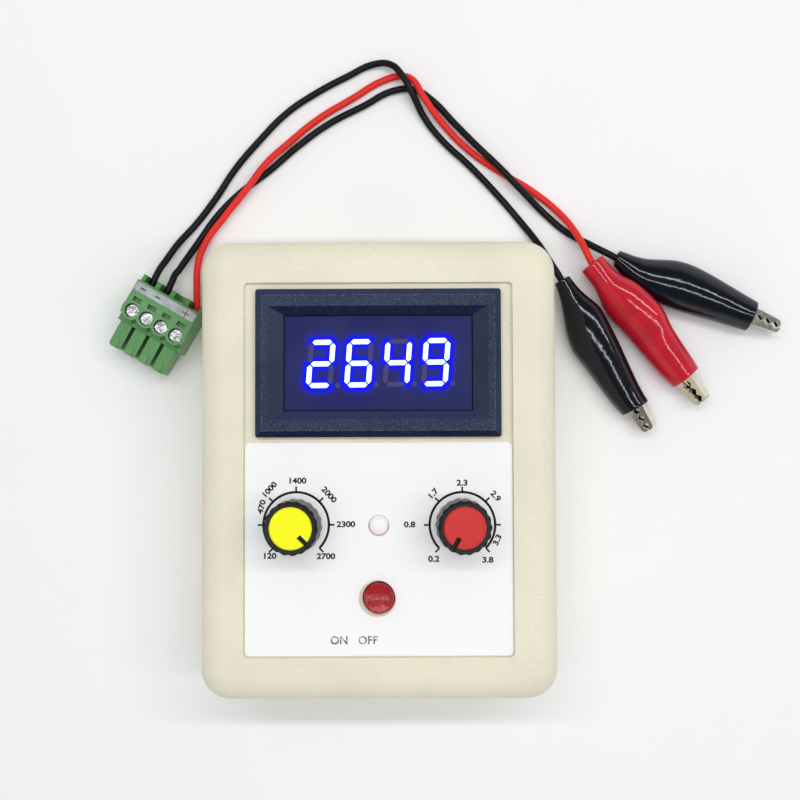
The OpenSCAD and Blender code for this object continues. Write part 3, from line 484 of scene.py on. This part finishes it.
class TESTER_OT_camera(bpy.types.Operator):
    """Places the camera straight above the table"""
    bl_idname = "tester.camera"
    bl_label = "Place camera"

    def execute(self, context):
        view = context.scene.tester_view
        deselect()
        bpy.ops.object.camera_add(location=view.place, rotation=view.turn)
        camera = context.object
        camera.name = "bench_camera"
        camera.data.sensor_width = 36
        camera.data.lens = view.lens
        camera.data.clip_start, camera.data.clip_end = 0.01, 10
        context.scene.camera = camera
        return {"FINISHED"}


class TESTER_OT_wires(bpy.types.Operator):
    """Lays the three leads from the plug to the clips"""
    bl_idname = "tester.wires"
    bl_label = "Lay wires"

    def execute(self, context):
        wires = context.scene.tester_wires
        finishes = {"black": self.sheath("black_sheath", wires.black, 0.34),
                    "red": self.sheath("red_sheath", wires.red, 0.36)}
        for name, (colour, points) in ROUTES.items():
            curve = bpy.data.curves.new("lead_" + name, "CURVE")
            curve.dimensions = "3D"
            curve.bevel_depth = wires.diameter / 2
            curve.bevel_resolution = 5
            curve.resolution_u = 10
            curve.use_fill_caps = True
            spline = curve.splines.new("BEZIER")
            spline.bezier_points.add(len(points) - 1)
            for knot, p in zip(spline.bezier_points, points):
                knot.co = p
                knot.handle_left_type = knot.handle_right_type = "AUTO"
            lead = bpy.data.objects.new("lead_" + name, curve)
            context.scene.collection.objects.link(lead)
            curve.materials.append(finishes[colour])
            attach(lead, "lead_set")
            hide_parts("wire_" + name)
        return {"FINISHED"}

    @staticmethod
    def sheath(name, colour, roughness):
        """Soft wire insulation with slow waves and a little dust."""
        f = Finish(name, Specular_IOR_Level=0.16)
        dust = f.ramp(f.noise(900, 4, 0.7), 0.5, 0.8)
        waves = f.noise(500, 2, 0.5)
        f.set(Base_Color=f.mix(dust * 0.4, colour, tuple(c * 0.9 + 0.008 for c in colour)),
              Roughness=roughness + (waves - 0.5) * 0.2,
              Normal=f.bump(waves, 0.2, 0.00004))
        return f.material


class TESTER_OT_stage(bpy.types.Operator):
    """Sets the pale table, the white room and the soft lamps"""
    bl_idname = "tester.stage"
    bl_label = "Set stage"

    FLOOR_DROP = 0.05 * MM      # gap under the case, so that the two faces don't lie in one plane
    # the long lamps: place over the table, length and width in metres, and how much of the power each gets
    TUBES = {"north_tube": ((0.15, 0.25), (1.1, 0.060), 1.25),
             "south_tube": ((0.20, -0.10), (1.1, 0.036), 0.8)}
    WALL_TOP, CEILING = 0.3, 0.75       # how far up, from 0 level to 1 overhead, the walls end and it begins

    def execute(self, context):
        stage = context.scene.tester_stage
        deselect()
        bpy.ops.mesh.primitive_plane_add(size=2 * stage.floor_half, location=(0, 0, -self.FLOOR_DROP))
        floor = context.object
        floor.name = "table_top"
        settle(floor, self.paper(stage.floor_colour))
        self.room(context, stage)
        for name, (place, size, share) in self.TUBES.items():
            self.tube(name, (*place, stage.tube_height), size, stage.tube_power * share)
        context.scene.view_settings.view_transform = "Standard"
        return {"FINISHED"}

    @staticmethod
    def paper(colour):
        """Matt white paper, barely uneven."""
        f = Finish("table_paper", Roughness=0.8, Specular_IOR_Level=0.15)
        f.set(Base_Color=f.mix(f.ramp(f.noise(30, 3), 0.3, 0.7), colour, shade(colour, 0.99)))
        return f.material

    def room(self, context, stage):
        """An even room whose walls show white and whose ceiling is dimmer."""
        world = bpy.data.worlds.new("bright_room")
        context.scene.world = world
        world.use_nodes = True
        n = Nodes(world.node_tree)
        lit, output = n.tree.nodes["Background"], n.tree.nodes["World Output"]
        n.put(lit.inputs["Color"], (0.97, 0.985, 1))
        n.put(lit.inputs["Strength"], stage.room_light)
        _, _, up = n.axes("Generated")
        bright = n.ramp(up, self.WALL_TOP, self.CEILING, 1.0, stage.ceiling_light)
        walls = n.node("ShaderNodeBackground", None, {"Color": (1, 1, 1), "Strength": bright})
        camera, glass, gloss = (n.node("ShaderNodeLightPath", out=ray)
                                for ray in ("Is Camera Ray", "Is Transmission Ray", "Is Glossy Ray"))
        seen = camera.larger(glass).larger(gloss)
        n.put(output.inputs["Surface"],
              n.node("ShaderNodeMixShader", None, {0: seen, 1: Value(n, lit.outputs[0]), 2: walls}))

    @staticmethod
    def tube(name, place, size, power):
        """A long thin lamp that hangs level and shines straight down."""
        deselect()
        bpy.ops.object.light_add(type="AREA", location=place)
        lamp = bpy.context.object
        lamp.name = name
        lamp.data.shape = "RECTANGLE"
        lamp.data.size, lamp.data.size_y = size
        lamp.data.energy = power


class TESTER_OT_case(bpy.types.Operator):
    """Finishes the two shells, the label film and the screws"""
    bl_idname = "tester.case"
    bl_label = "Finish case"

    def execute(self, context):
        case = context.scene.tester_case
        shell = moulded("cream_shell", case.cream, 0.5, grain=4300, depth=0.00007, mottle=0.055, specks_and_glints=0.4)
        smoothed(shell, "shell_plastic", "top_shell", "bottom_shell")
        dress(self.film(case.label), "front_label")
        steel = plated("zinc_screw", (0.62, 0.62, 0.62), 0.3)
        dress(steel, "case_screws", "board_screws", "voltage_shaft", "current_shaft")
        tin = plated("tin_plate", (0.72, 0.71, 0.68), 0.24)
        dress(tin, "power_switch_body", "lead_socket_pins")
        smoothed(tin, "plated_steel", "usb_socket_shell")
        dress(moulded("black_insulator", (0.018, 0.018, 0.02), 0.5, mottle=0.2), "usb_socket_tongue",
              "power_switch_lever", "meter_digit_block", "start_switch_body", "indicator_spacer")
        dress(moulded("blue_pot_case", (0.03, 0.07, 0.28), 0.4, mottle=0.2), "voltage_pot", "current_pot")
        dress(self.board(), "main_board", "meter_board")
        return {"FINISHED"}

    @staticmethod
    def film(colour):
        """Satin printed film, very slightly uneven."""
        f = Finish("label_film", Specular_IOR_Level=0.4)
        f.set(Base_Color=f.mix(f.ramp(f.noise(90, 3), 0.3, 0.7), colour, shade(colour, 0.99)),
              Roughness=0.34 + f.noise(300, 3) * 0.08,
              Normal=f.bump(f.noise(160, 2), 0.12, 0.00003))
        return f.material

    @staticmethod
    def board():
        """Green lacquer over copper tracks."""
        f = Finish("green_board", Coat_Weight=0.4)
        tracks = f.ramp(f.cell_edges(260), 0.02, 0.05)
        f.set(Base_Color=f.mix(tracks, (0.02, 0.16, 0.06), (0.01, 0.09, 0.035)),
              Roughness=0.35 + tracks * 0.1, Normal=f.bump(tracks, 0.3, 0.00003))
        return f.material


class TESTER_OT_controls(bpy.types.Operator):
    """Finishes the knobs, their caps, the button and the indicator"""
    bl_idname = "tester.controls"
    bl_label = "Finish controls"

    def execute(self, context):
        knob = moulded("black_knob", (0.016, 0.015, 0.016), 0.34, grain=1500, depth=0.000006, mottle=0.2,
                       Specular_IOR_Level=0.16)
        smoothed(knob, "knob_black", "voltage_knob", "current_knob")
        yellow = moulded("yellow_cap", (0.98, 0.97, 0.012), 0.45, mottle=0.015, Specular_IOR_Level=0.1)
        smoothed(yellow, "yellow_cap", "voltage_knob_cap")
        red = moulded("red_cap", (0.63, 0.030, 0.030), 0.42, grain=3000, mottle=0.18, Specular_IOR_Level=0.2)
        smoothed(red, "red_cap", "current_knob_cap")
        smoothed(self.pressed_red(), "red_button", "start_button")
        dress(moulded("white_plunger", (0.7, 0.7, 0.68), 0.5), "start_plunger")
        smoothed(self.milky_dome(), "milky_lens", "indicator_lens")
        return {"FINISHED"}

    @staticmethod
    def pressed_red():
        """Glossy red plastic whose dished face is slightly uneven, so it breaks up a lamp's reflection."""
        f = Finish("red_button", Specular_IOR_Level=0.35)
        uneven = f.noise(1300, 2, 0.5)
        f.set(Base_Color=f.mix(f.ramp(f.noise(500, 3), 0.3, 0.7), (0.43, 0.018, 0.024), (0.36, 0.014, 0.020)),
              Roughness=0.16 + (uneven - 0.5) * 0.1, Normal=f.bump(uneven, 1.0, 0.00009))
        return f.material

    @staticmethod
    def milky_dome():
        """A white dome with a thin pink edge where its lower side meets the label."""
        f = Finish("milky_dome", Roughness=0.3)
        x, y, _ = f.axes()
        y = y - INDICATOR_Y
        radius = (x * x + y * y) ** 0.5
        edge = f.ramp(radius, 0.0016, 0.00185) * f.ramp(y + f.noise(900, 2) * 0.0006, 0.0012, 0.0002)
        f.set(Base_Color=f.mix(edge * 0.85, (0.95, 0.94, 0.94), (0.86, 0.36, 0.38)))
        return f.material


class TESTER_OT_meter(bpy.types.Operator):
    """Finishes the panel meter and adds the halo of the lit bars"""
    bl_idname = "tester.meter"
    bl_label = "Finish meter"

    BEZEL_ANGLE = math.radians(9)       # the bezel's slopes are blunt, and stay flat
    BEVEL = 1.2 * MM                    # width of the slope round the bezel
    FUNNEL_X = 3.1 * MM                 # reach of the slopes inside the frame, out from the window's ends
    FUNNEL_Y = 1.8 * MM                 # and out from its long edges
    SHARP = 0.03 * MM                   # softness of the borders between the slopes
    EDGE_HIGHLIGHT = 0.06 * MM, 0.22 * MM       # where the painted highlight line along an edge starts to fade and where it ends
    HALO_MARGIN = 0.1 * MM              # gap round the glowing sheet
    HALO_DROP = 0.08 * MM               # how far it lies under the bars' tops
    HALO_GRID = 230, 116                # its faces along and across

    def execute(self, context):
        meter = context.scene.tester_meter
        smoothed(self.bezel(), "bezel_plastic", "meter_bezel", angle=self.BEZEL_ANGLE)
        dress(self.window(), "meter_window")
        dress(self.lit(), "meter_lit_segments")
        dress(self.unlit(), "meter_dark_segments")
        self.halo(context, meter)
        return {"FINISHED"}

    @staticmethod
    def window():
        """Clear smoked plastic with a few pale specks of dust."""
        f = Finish("smoked_window", Roughness=0.3, Specular_IOR_Level=0.12)
        dust = f.ramp(f.noise(2300, 2, 0.5), 0.74, 0.80)
        smoke = f.mix(f.ramp(f.noise(90, 3), 0.3, 0.7), (0.03, 0.03, 0.10), (0.04, 0.03, 0.12))
        f.set(Base_Color=f.mix(dust, smoke, (0.5, 0.5, 0.6)), Alpha=0.1 + dust * 0.15)
        return f.material

    @staticmethod
    def lit():
        """A lit bar: blue-white, and brightest in patches."""
        f = Finish("lit_bar", Roughness=0.5, Emission_Strength=2.0, Base_Color=(0.6, 0.8, 1))
        f.set(Emission_Color=f.mix(f.ramp(f.noise(1400, 2), 0.3, 0.7), (0.40, 0.78, 1), (0.60, 0.90, 1)))
        return f.material

    @staticmethod
    def unlit():
        """A dark bar that shows faintly through the smoked window."""
        f = Finish("unlit_bar", Roughness=0.5)
        cloudy = f.ramp(f.noise(1400, 2), 0.3, 0.7)
        f.set(Base_Color=f.mix(cloudy, (0.040, 0.030, 0.205), (0.050, 0.036, 0.235)))
        return f.material

    def bezel(self):
        """Dark blue-grey plastic with a grain, painted glints on the grain, painted shade on the slopes that
        face the user, painted light on the slopes that face away, and painted highlight lines where the flat
        meets its outer slope.
        """
        f = Finish("bezel_plastic", Specular_IOR_Level=0.12)
        low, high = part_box("meter_bezel")
        glass_low, glass_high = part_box("meter_window")
        centre, half = (low + high) / 2, (high - low) / 2
        opening = (glass_high - glass_low) / 2 + Vector((self.FUNNEL_X, self.FUNNEL_Y, 0))
        x, y, _ = f.axes()
        x, y = x - centre.x, y - centre.y
        # how far in from the frame's outer edges a point is, and how far in from the opening's
        side_x, side_y = half.x - abs(x), half.y - abs(y)
        in_x, in_y = opening.x - abs(x), opening.y - abs(y)
        rim = f.ramp(side_x.smaller(side_y), self.BEVEL - self.SHARP, self.BEVEL + self.SHARP, 1, 0)
        funnel = f.ramp(in_x.smaller(in_y), -self.SHARP, self.SHARP)
        flat = 1 - rim - funnel
        # of the slopes, only those along the frame's long sides get painted shade and painted light
        rim = rim * f.ramp(side_x - side_y, -self.SHARP, self.SHARP)
        funnel = funnel * f.ramp(in_x * (self.FUNNEL_Y / self.FUNNEL_X) - in_y, -self.SHARP, self.SHARP)
        upper = f.ramp(y, -self.SHARP, self.SHARP)
        grain = f.noise(4200, 2, 0.7)
        # painted glints: light specks in the grain, strongest on the flats
        glint = f.ramp(f.noise(5200, 1, 0.5), 0.60, 0.68) * (flat * 0.7 + 0.3)
        tone = f.mix(f.ramp(f.noise(70, 3), 0.3, 0.7), (0.019, 0.031, 0.064), (0.027, 0.042, 0.082))
        # painted shade: the slopes that face the user are darker
        tone = f.mix(rim * (1 - upper) + funnel * upper, tone, (0.005, 0.010, 0.040))
        # painted light: the slopes that face away from the user are lighter and bluer
        tone = f.mix(rim * upper + funnel * (1 - upper), tone, (0.024, 0.034, 0.092))
        # painted highlight: a light, broken line where the flat meets its outer slope, standing in for that
        # edge catching light
        edge = abs(side_x - self.BEVEL).smaller(abs(side_y - self.BEVEL))
        rubbed_and_edge_highlight = f.ramp(edge, *self.EDGE_HIGHLIGHT, 1, 0) * flat * f.ramp(f.noise(1900, 3, 0.7), 0.42, 0.62)
        tone = f.mix(rubbed_and_edge_highlight * 0.5, tone, (0.16, 0.19, 0.25))
        f.set(Base_Color=f.mix(glint * 0.7, tone, (0.15, 0.18, 0.24)),
              Roughness=0.42 + (grain - 0.5) * 0.2, Normal=f.bump(grain, 0.9, 0.00008))
        return f.material

    def halo(self, context, meter):
        """A thin sheet between the bars whose glow fades away from the lit ones."""
        low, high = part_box("meter_window")
        centre = (low + high) / 2
        deselect()
        bpy.ops.mesh.primitive_grid_add(
            x_subdivisions=self.HALO_GRID[0], y_subdivisions=self.HALO_GRID[1], size=1,
            location=(centre.x, centre.y, DIGIT_TOP - self.HALO_DROP))
        sheet = context.object
        sheet.name = "digit_halo"
        sheet.scale = (high.x - low.x - 2 * self.HALO_MARGIN, high.y - low.y - 2 * self.HALO_MARGIN, 1)
        settle(sheet, self.glowing(meter.glow), "case")
        bars = lit_bars(meter)
        layer = sheet.data.attributes.new("nearness", "FLOAT", "POINT")
        for vertex, item in zip(sheet.data.vertices, layer.data):
            place = Vector((vertex.co.x, vertex.co.y - METER_Y))
            closest = min(gap_to(place, a, b) for a, b in bars) - meter.bar_width / 2
            item.value = math.exp(-max(0.0, closest) / meter.halo_reach)

    @staticmethod
    def glowing(glow):
        """A dark blue mask that glows where the sheet's nearness is high."""
        f = Finish("bar_halo", Roughness=0.6, Specular_IOR_Level=0.0, Emission_Strength=1.3)
        near = f.node("ShaderNodeAttribute", {"attribute_name": "nearness"}, out="Fac")
        mask = f.mix(f.ramp(f.noise(75, 2), 0.35, 0.65), (0.034, 0.044, 0.155), (0.028, 0.030, 0.165))
        f.set(Base_Color=f.mix(f.ramp(near, 0.1, 0.6), mask, (0.001, 0.001, 0.010)),
              Emission_Color=f.mix(f.ramp(near, 0.02, 0.75), (0, 0, 0), glow))
        return f.material


LIT_LETTERS = "abged", "acdefg", "bcfg", "abcdfg"      # the lit bars of each digit, by their usual letters
BAR_TIP = 0.6 * MM      # a bar's middle line ends this far inside its corners


def lit_bars(meter):
    """Ends of the middle line of every lit bar, in the meter's plane, measured from its middle."""
    half_width = (meter.digit_pitch - meter.digit_gap) / 2
    half_height = (meter.digit_height - meter.bar_width) / 2
    skew, turn = math.tan(meter.digit_slant), Matrix.Rotation(meter.digit_turn, 2)
    lines = {"a": ((-1, 1), (1, 1)), "g": ((-1, 0), (1, 0)), "d": ((-1, -1), (1, -1)),
             "b": ((1, 0), (1, 1)), "c": ((1, -1), (1, 0)), "e": ((-1, -1), (-1, 0)), "f": ((-1, 0), (-1, 1))}
    bars = []
    for digit, shown in enumerate(LIT_LETTERS):
        middle = (digit - (len(LIT_LETTERS) - 1) / 2) * meter.digit_pitch
        for bar in shown:
            start, end = (turn @ Vector((middle + x * half_width + y * half_height * skew, y * half_height))
                          for x, y in lines[bar])
            inward = (end - start).normalized() * BAR_TIP
            bars.append((start + inward, end - inward))
    return bars


def gap_to(p, a, b):
    """Distance from a point to a bar's middle line."""
    along = b - a
    t = max(0.0, min(1.0, (p - a).dot(along) / along.length_squared))
    return (p - a - t * along).length


class TESTER_OT_print(bpy.types.Operator):
    """Prints the two dials and the switch's words on the label"""
    bl_idname = "tester.print"
    bl_label = "Print label"

    # number, place from the knob's middle in millimetres, and turn in degrees
    LEFT = (("120", (-5.0, -5.9), 0), ("470", (-6.5, 3.7), 76), ("1000", (-5.0, 7.0), 47),
            ("1400", (0.4, 8.7), 0), ("2000", (6.6, 6.0), -48), ("2300", (9.9, 0.2), 0),
            ("2700", (6.0, -6.0), 0))
    RIGHT = (("0.2", (-5.6, -6.6), 0), ("0.8", (-10.3, 0.1), 0), ("1.7", (-5.7, 6.1), 47),
             ("2.3", (0.0, 8.2), 0), ("2.9", (6.5, 5.6), -48), ("3.3", (6.8, -2.9), 66),
             ("3.8", (4.9, -6.8), 0))
    # the two words of the power switch, placed from the case's middle in millimetres
    WORDS = (("ON", (-7.75, -33.3)), ("OFF", (-2.15, -33.3)))
    LEFT_DIAL, RIGHT_DIAL = (0.2, 0.15), (0.0, 0.05)    # how far each arc is printed off its knob's middle
    OPEN, MARKS = 90, 7                                 # the arc's opening in degrees, and its marks

    def execute(self, context):
        look = context.scene.tester_print
        parts = []
        for x, numbers, (off_x, off_y) in ((-KNOB_X, self.LEFT, self.LEFT_DIAL),
                                           (KNOB_X, self.RIGHT, self.RIGHT_DIAL)):
            parts.append(self.arc(look, x + off_x * MM, KNOB_Y + off_y * MM))
            for words, (dx, dy), turn in numbers:
                parts.append(lettering(words, look.number_size, (x + dx * MM, KNOB_Y + dy * MM), turn,
                                       look.number_width))
        sharp = self.ink("label_ink", look.ink, 0.64, 0.25)
        settle(joined(parts, "label_print"), sharp, "case")
        words = [lettering(word, look.word_size, (x * MM, y * MM), weight=0.01)
                 for word, (x, y) in self.WORDS]
        rubbed_and_edge_highlight = self.ink("rubbed_ink", look.ink, 0.46, 0.75)
        settle(joined(words, "switch_words"), rubbed_and_edge_highlight, "case")
        return {"FINISHED"}

    @staticmethod
    def ink(name, colour, kept, loss):
        """Black screen ink, worn paler by loss in patches; a smaller kept makes more of them."""
        f = Finish(name, Specular_IOR_Level=0.15)
        worn = f.ramp(f.noise(1500, 3, 0.7), kept, kept + 0.14, 0, loss)
        f.set(Base_Color=f.mix(worn, colour, (0.62, 0.62, 0.63)), Roughness=0.36 + worn * 0.3)
        return f.material

    def arc(self, look, x, y):
        """An arc that is open towards the user, with marks that stand outwards."""
        height = LABEL_TOP + PRINT_LIFT
        deselect()
        bpy.ops.mesh.primitive_circle_add(vertices=96, radius=look.arc_radius + look.line / 2,
                                          location=(x, y, height))
        dial = bpy.context.object
        bpy.ops.object.mode_set(mode="EDIT")
        bpy.ops.mesh.select_mode(type="VERT")
        bpy.ops.mesh.select_all(action="SELECT")
        bpy.ops.mesh.extrude_region()
        inner = (look.arc_radius - look.line / 2) / (look.arc_radius + look.line / 2)
        bpy.ops.transform.resize(value=(inner, inner, 1), center_override=dial.location)
        bpy.ops.mesh.select_mode(type="FACE")
        bpy.ops.mesh.select_all(action="DESELECT")
        shape = bmesh.from_edit_mesh(dial.data)
        for face in shape.faces:
            middle = face.calc_center_median()
            face.select = abs(math.degrees(math.atan2(middle.x, -middle.y))) < self.OPEN / 2
        bmesh.update_edit_mesh(dial.data)
        bpy.ops.mesh.delete(type="FACE")
        bpy.ops.mesh.select_all(action="SELECT")
        bpy.ops.mesh.flip_normals()
        bpy.ops.object.mode_set(mode="OBJECT")
        marks = [dial]
        reach = look.arc_radius + look.tick / 2
        for k in range(self.MARKS):
            angle = math.radians(270 - self.OPEN / 2 - k * (360 - self.OPEN) / (self.MARKS - 1))
            deselect()
            bpy.ops.mesh.primitive_plane_add(
                size=1, rotation=(0, 0, angle),
                location=(x + reach * math.cos(angle), y + reach * math.sin(angle), height))
            bpy.context.object.scale = (look.tick, look.tick_width, 1)
            marks.append(bpy.context.object)
        return joined(marks, "dial")


class TESTER_OT_plug(bpy.types.Operator):
    """Finishes the screw plug and the socket"""
    bl_idname = "tester.plug"
    bl_label = "Finish plug"

    # the plug's place in millimetres and turn in degrees, its contacts' pitch and the line of its strip
    PLUG_PLACE, PLUG_TURN = (-47, 30.4), -30
    CONTACT_PITCH, STRIP_Y = 3.5, 5.0
    # strokes on the strip: contact from the middle, length and width in millimetres, and turn in degrees
    MINUS = ((-1.5, 1.2, 0.27, 0), (-0.5, 1.2, 0.27, 0))
    PLUS = ((1.42, 1.9, 0.24, 0), (1.42, 1.6, 0.24, 90))
    STROKE_STEP = 0.01 * MM             # crossing strokes lie this far over each other

    def execute(self, context):
        green = moulded("green_plug", (0.090, 0.290, 0.086), 0.36, grain=2600, depth=0.00003, mottle=0.10)
        smoothed(green, "green_plastic", "plug_housing", "lead_socket")
        dress(self.strip(), "plug_marker_strip")
        smoothed(self.worn_screw(), "plated_steel", "plug_screws")
        dress(plated("tinned_brass", (0.72, 0.64, 0.45), 0.25), "plug_clamps")
        black = self.marker("black_marker", (0.006, 0.006, 0.007))
        settle(self.marks("minus_marks", self.MINUS), black, "lead_set")
        red = self.marker("red_marker", (0.36, 0.012, 0.020))
        settle(self.marks("plus_mark", self.PLUS), red, "lead_set")
        return {"FINISHED"}

    @staticmethod
    def strip():
        """Pale grey marker strip with darker smudges."""
        f = Finish("grey_strip")
        smudge = f.noise(380, 3, 0.6)
        f.set(Base_Color=f.mix(f.ramp(smudge, 0.35, 0.7), (0.45, 0.505, 0.48), (0.31, 0.345, 0.37)),
              Roughness=0.42 + smudge * 0.15, Normal=f.bump(smudge, 0.2, 0.00003))
        return f.material

    @staticmethod
    def worn_screw():
        """Bright plated heads with dark patches painted into the colour as reflection, and dented so that each
        turns patches of light and dark upwards.
        """
        f = Finish("bright_screw", Metallic=1.0)
        dent = f.noise(720, 2, 0.5)
        # painted reflection: the colour runs from bright to dark in patches
        f.set(Base_Color=f.mix(f.ramp(f.noise(900, 3), 0.35, 0.7), (0.90, 0.90, 0.91), (0.40, 0.41, 0.43)),
              Roughness=0.2 + (dent - 0.5) * 0.1, Normal=f.bump(dent, 1.0, 0.00008))
        return f.material

    def marks(self, name, strokes):
        """Short flat strokes on the marker strip."""
        turn = Matrix.Rotation(math.radians(self.PLUG_TURN), 2)
        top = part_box("plug_marker_strip")[1].z + PRINT_LIFT
        drawn = []
        for contact, length, width, angle in strokes:
            x, y = turn @ Vector((contact * self.CONTACT_PITCH, self.STRIP_Y)) + Vector(self.PLUG_PLACE)
            deselect()
            bpy.ops.mesh.primitive_plane_add(
                size=MM, location=(x * MM, y * MM, top + len(drawn) * self.STROKE_STEP),
                rotation=(0, 0, math.radians(self.PLUG_TURN + angle)))
            bpy.context.object.scale = (length, width, 1)
            drawn.append(bpy.context.object)
        return joined(drawn, name)

    @staticmethod
    def marker(name, colour):
        """Marker ink with thin places."""
        f = Finish(name, Roughness=0.5)
        f.set(Base_Color=f.mix(f.ramp(f.noise(1800, 3), 0.62, 0.85, 0, 0.3), colour, (0.3, 0.3, 0.32)))
        return f.material


class TESTER_OT_clips(bpy.types.Operator):
    """Finishes the clips' jaws and makes their soft boots"""
    bl_idname = "tester.clips"
    bl_label = "Make clips"

    NICKEL = 0.80, 0.755, 0.63
    RING = 20                           # corners round a boot
    # where a boot's skin would pass from the fixed jaw to the moving one, in millimetres along the clip and off
    # its middle line; nothing in this script reads these
    BLEND_X, BLEND_START, BLEND_END = 20, 0.5, 4.0
    # the painted shade, a dark line between the teeth: half its width, its soft edge, and the height over which
    # it fades
    GRIME_HALF, GRIME_FADE, GRIME_HEIGHT = 1.0 * MM, 0.4 * MM, 0.8 * MM

    def execute(self, context):
        boots = context.scene.tester_boots
        small = [part + number for part in ("hinge_pin_", "jaw_spring_") for number in CLIP_LAY]
        dress(plated("nickel_wire", self.NICKEL, 0.2), *small)
        finishes = {"black": self.vinyl("black_vinyl", boots.black),
                    "red": self.vinyl("red_vinyl", boots.red)}
        for number, clip in CLIP_LAY.items():
            # painted shade: the jaws go near black low down where the teeth meet
            sheet = plated("nickel_sheet_" + number, self.NICKEL, 0.13,
                           painted_shade=lambda finish, lay=clip: self.between_teeth(finish, lay))
            dress(sheet, "fixed_jaw_" + number, "moving_jaw_" + number)
            skin = finishes[clip["colour"]]
            dress(skin, "boot_" + number)
            boot = self.boot(context, boots.wall, clip, number)
            settle(boot, skin)
            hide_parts("boot_" + number)
            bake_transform(boot)
        return {"FINISHED"}

    def between_teeth(self, f, clip):
        """1 on the lower part of a jaw near the line where the teeth meet, and 0 elsewhere: where the shade
        between the teeth is painted.
        """
        x, y, z = f.axes()
        _, across, above, _ = clip_frame(clip).inverted()
        off = abs(x * across[0] + y * across[1] + z * across[2] + across[3])
        height = x * above[0] + y * above[1] + z * above[2] + above[3]
        near = f.ramp(off, self.GRIME_HALF, self.GRIME_HALF + self.GRIME_FADE, 1, 0)
        return near * f.ramp(height, 0.0, self.GRIME_HEIGHT, 1, 0)

    def boot(self, context, thickness, clip, number):
        """A soft boot: one ring drawn out along the clip, then given its wall and smoothed."""
        deselect()
        bpy.ops.mesh.primitive_circle_add(vertices=self.RING, radius=MM, rotation=(0, math.pi / 2, 0))
        boot = context.object
        boot.name = boot.data.name = "vinyl_boot_" + number
        bpy.ops.object.transform_apply(location=True, rotation=True, scale=True)
        bpy.ops.object.mode_set(mode="EDIT")
        bpy.ops.mesh.select_mode(type="VERT")
        bpy.ops.mesh.select_all(action="SELECT")
        reach, off, half_width, half_height = 0.0, 0.0, 1.0, 1.0
        for place, left, right, high in zip(BOOT_STEPS, clip["left"], clip["right"], clip["high"]):
            middle, half = (left - right) / 2, (left + right) / 2
            move = ((place - reach) * MM, (middle - off) * MM, 0)
            if place:
                bpy.ops.mesh.extrude_region_move(TRANSFORM_OT_translate={"value": move})
            else:
                bpy.ops.transform.translate(value=move)
            bpy.ops.transform.resize(value=(1, half / half_width, high / half_height),
                                     center_override=(place * MM, middle * MM, 0))
            reach, off, half_width, half_height = place, middle, half, high
        bpy.ops.mesh.select_all(action="SELECT")
        bpy.ops.mesh.normals_make_consistent(inside=False)
        bpy.ops.object.mode_set(mode="OBJECT")
        wall = boot.modifiers.new("wall", "SOLIDIFY")
        wall.thickness, wall.offset = thickness, -1
        smooth = boot.modifiers.new("smooth", "SUBSURF")
        smooth.levels = smooth.render_levels = 2
        for modifier in ("wall", "smooth"):
            bpy.ops.object.modifier_apply(modifier=modifier)
        bpy.ops.object.shade_smooth()
        boot.matrix_world = clip_frame(clip)
        return boot

    @staticmethod
    def vinyl(name, colour):
        """Soft glossy vinyl with slow waves, which make its long reflections wander."""
        f = Finish(name, Specular_IOR_Level=0.45)
        flow = f.noise(230, 2, 0.5)
        ripple = f.noise(900, 2, 0.5)
        f.set(Base_Color=f.mix(f.ramp(flow, 0.3, 0.7), colour, shade(colour, 0.85)),
              Roughness=0.11 + (ripple - 0.5) * 0.08,
              Normal=f.bump(ripple, 0.3, 0.00006, f.bump(flow, 0.45, 0.0002)))
        return f.material


class TESTER_PT_panel(bpy.types.Panel):
    """Lists the steps that dress the tester"""
    bl_idname = "TESTER_PT_panel"
    bl_label = "Component tester"
    bl_space_type = "VIEW_3D"
    bl_region_type = "UI"
    bl_category = "Tester"

    def draw(self, context):
        for step in STEPS:
            self.layout.operator(step.bl_idname)
        for name in SETTINGS:
            box = self.layout.box()
            group = getattr(context.scene, name)
            for prop in group.bl_rna.properties:
                if prop.identifier not in ("rna_type", "name"):
                    box.prop(group, prop.identifier)


SETTINGS = {
    "tester_view": TESTER_PG_view, "tester_stage": TESTER_PG_stage, "tester_wires": TESTER_PG_wires,
    "tester_boots": TESTER_PG_boots, "tester_case": TESTER_PG_case, "tester_print": TESTER_PG_print,
    "tester_meter": TESTER_PG_meter,
}
STEPS = (TESTER_OT_camera, TESTER_OT_wires, TESTER_OT_stage, TESTER_OT_case, TESTER_OT_controls,
         TESTER_OT_meter, TESTER_OT_print, TESTER_OT_plug, TESTER_OT_clips)
CLASSES = (*SETTINGS.values(), *STEPS, TESTER_PT_panel)


def register():
    for c in CLASSES:
        bpy.utils.register_class(c)
    for name, group in SETTINGS.items():
        setattr(bpy.types.Scene, name, bpy.props.PointerProperty(type=group))


def unregister():
    for name in SETTINGS:
        delattr(bpy.types.Scene, name)
    for c in reversed(CLASSES):
        bpy.utils.unregister_class(c)


def main():
    register()
    for step in STEPS:
        group, name = step.bl_idname.split(".")
        getattr(getattr(bpy.ops, group), name)()


if __name__ == "__main__":
    main()
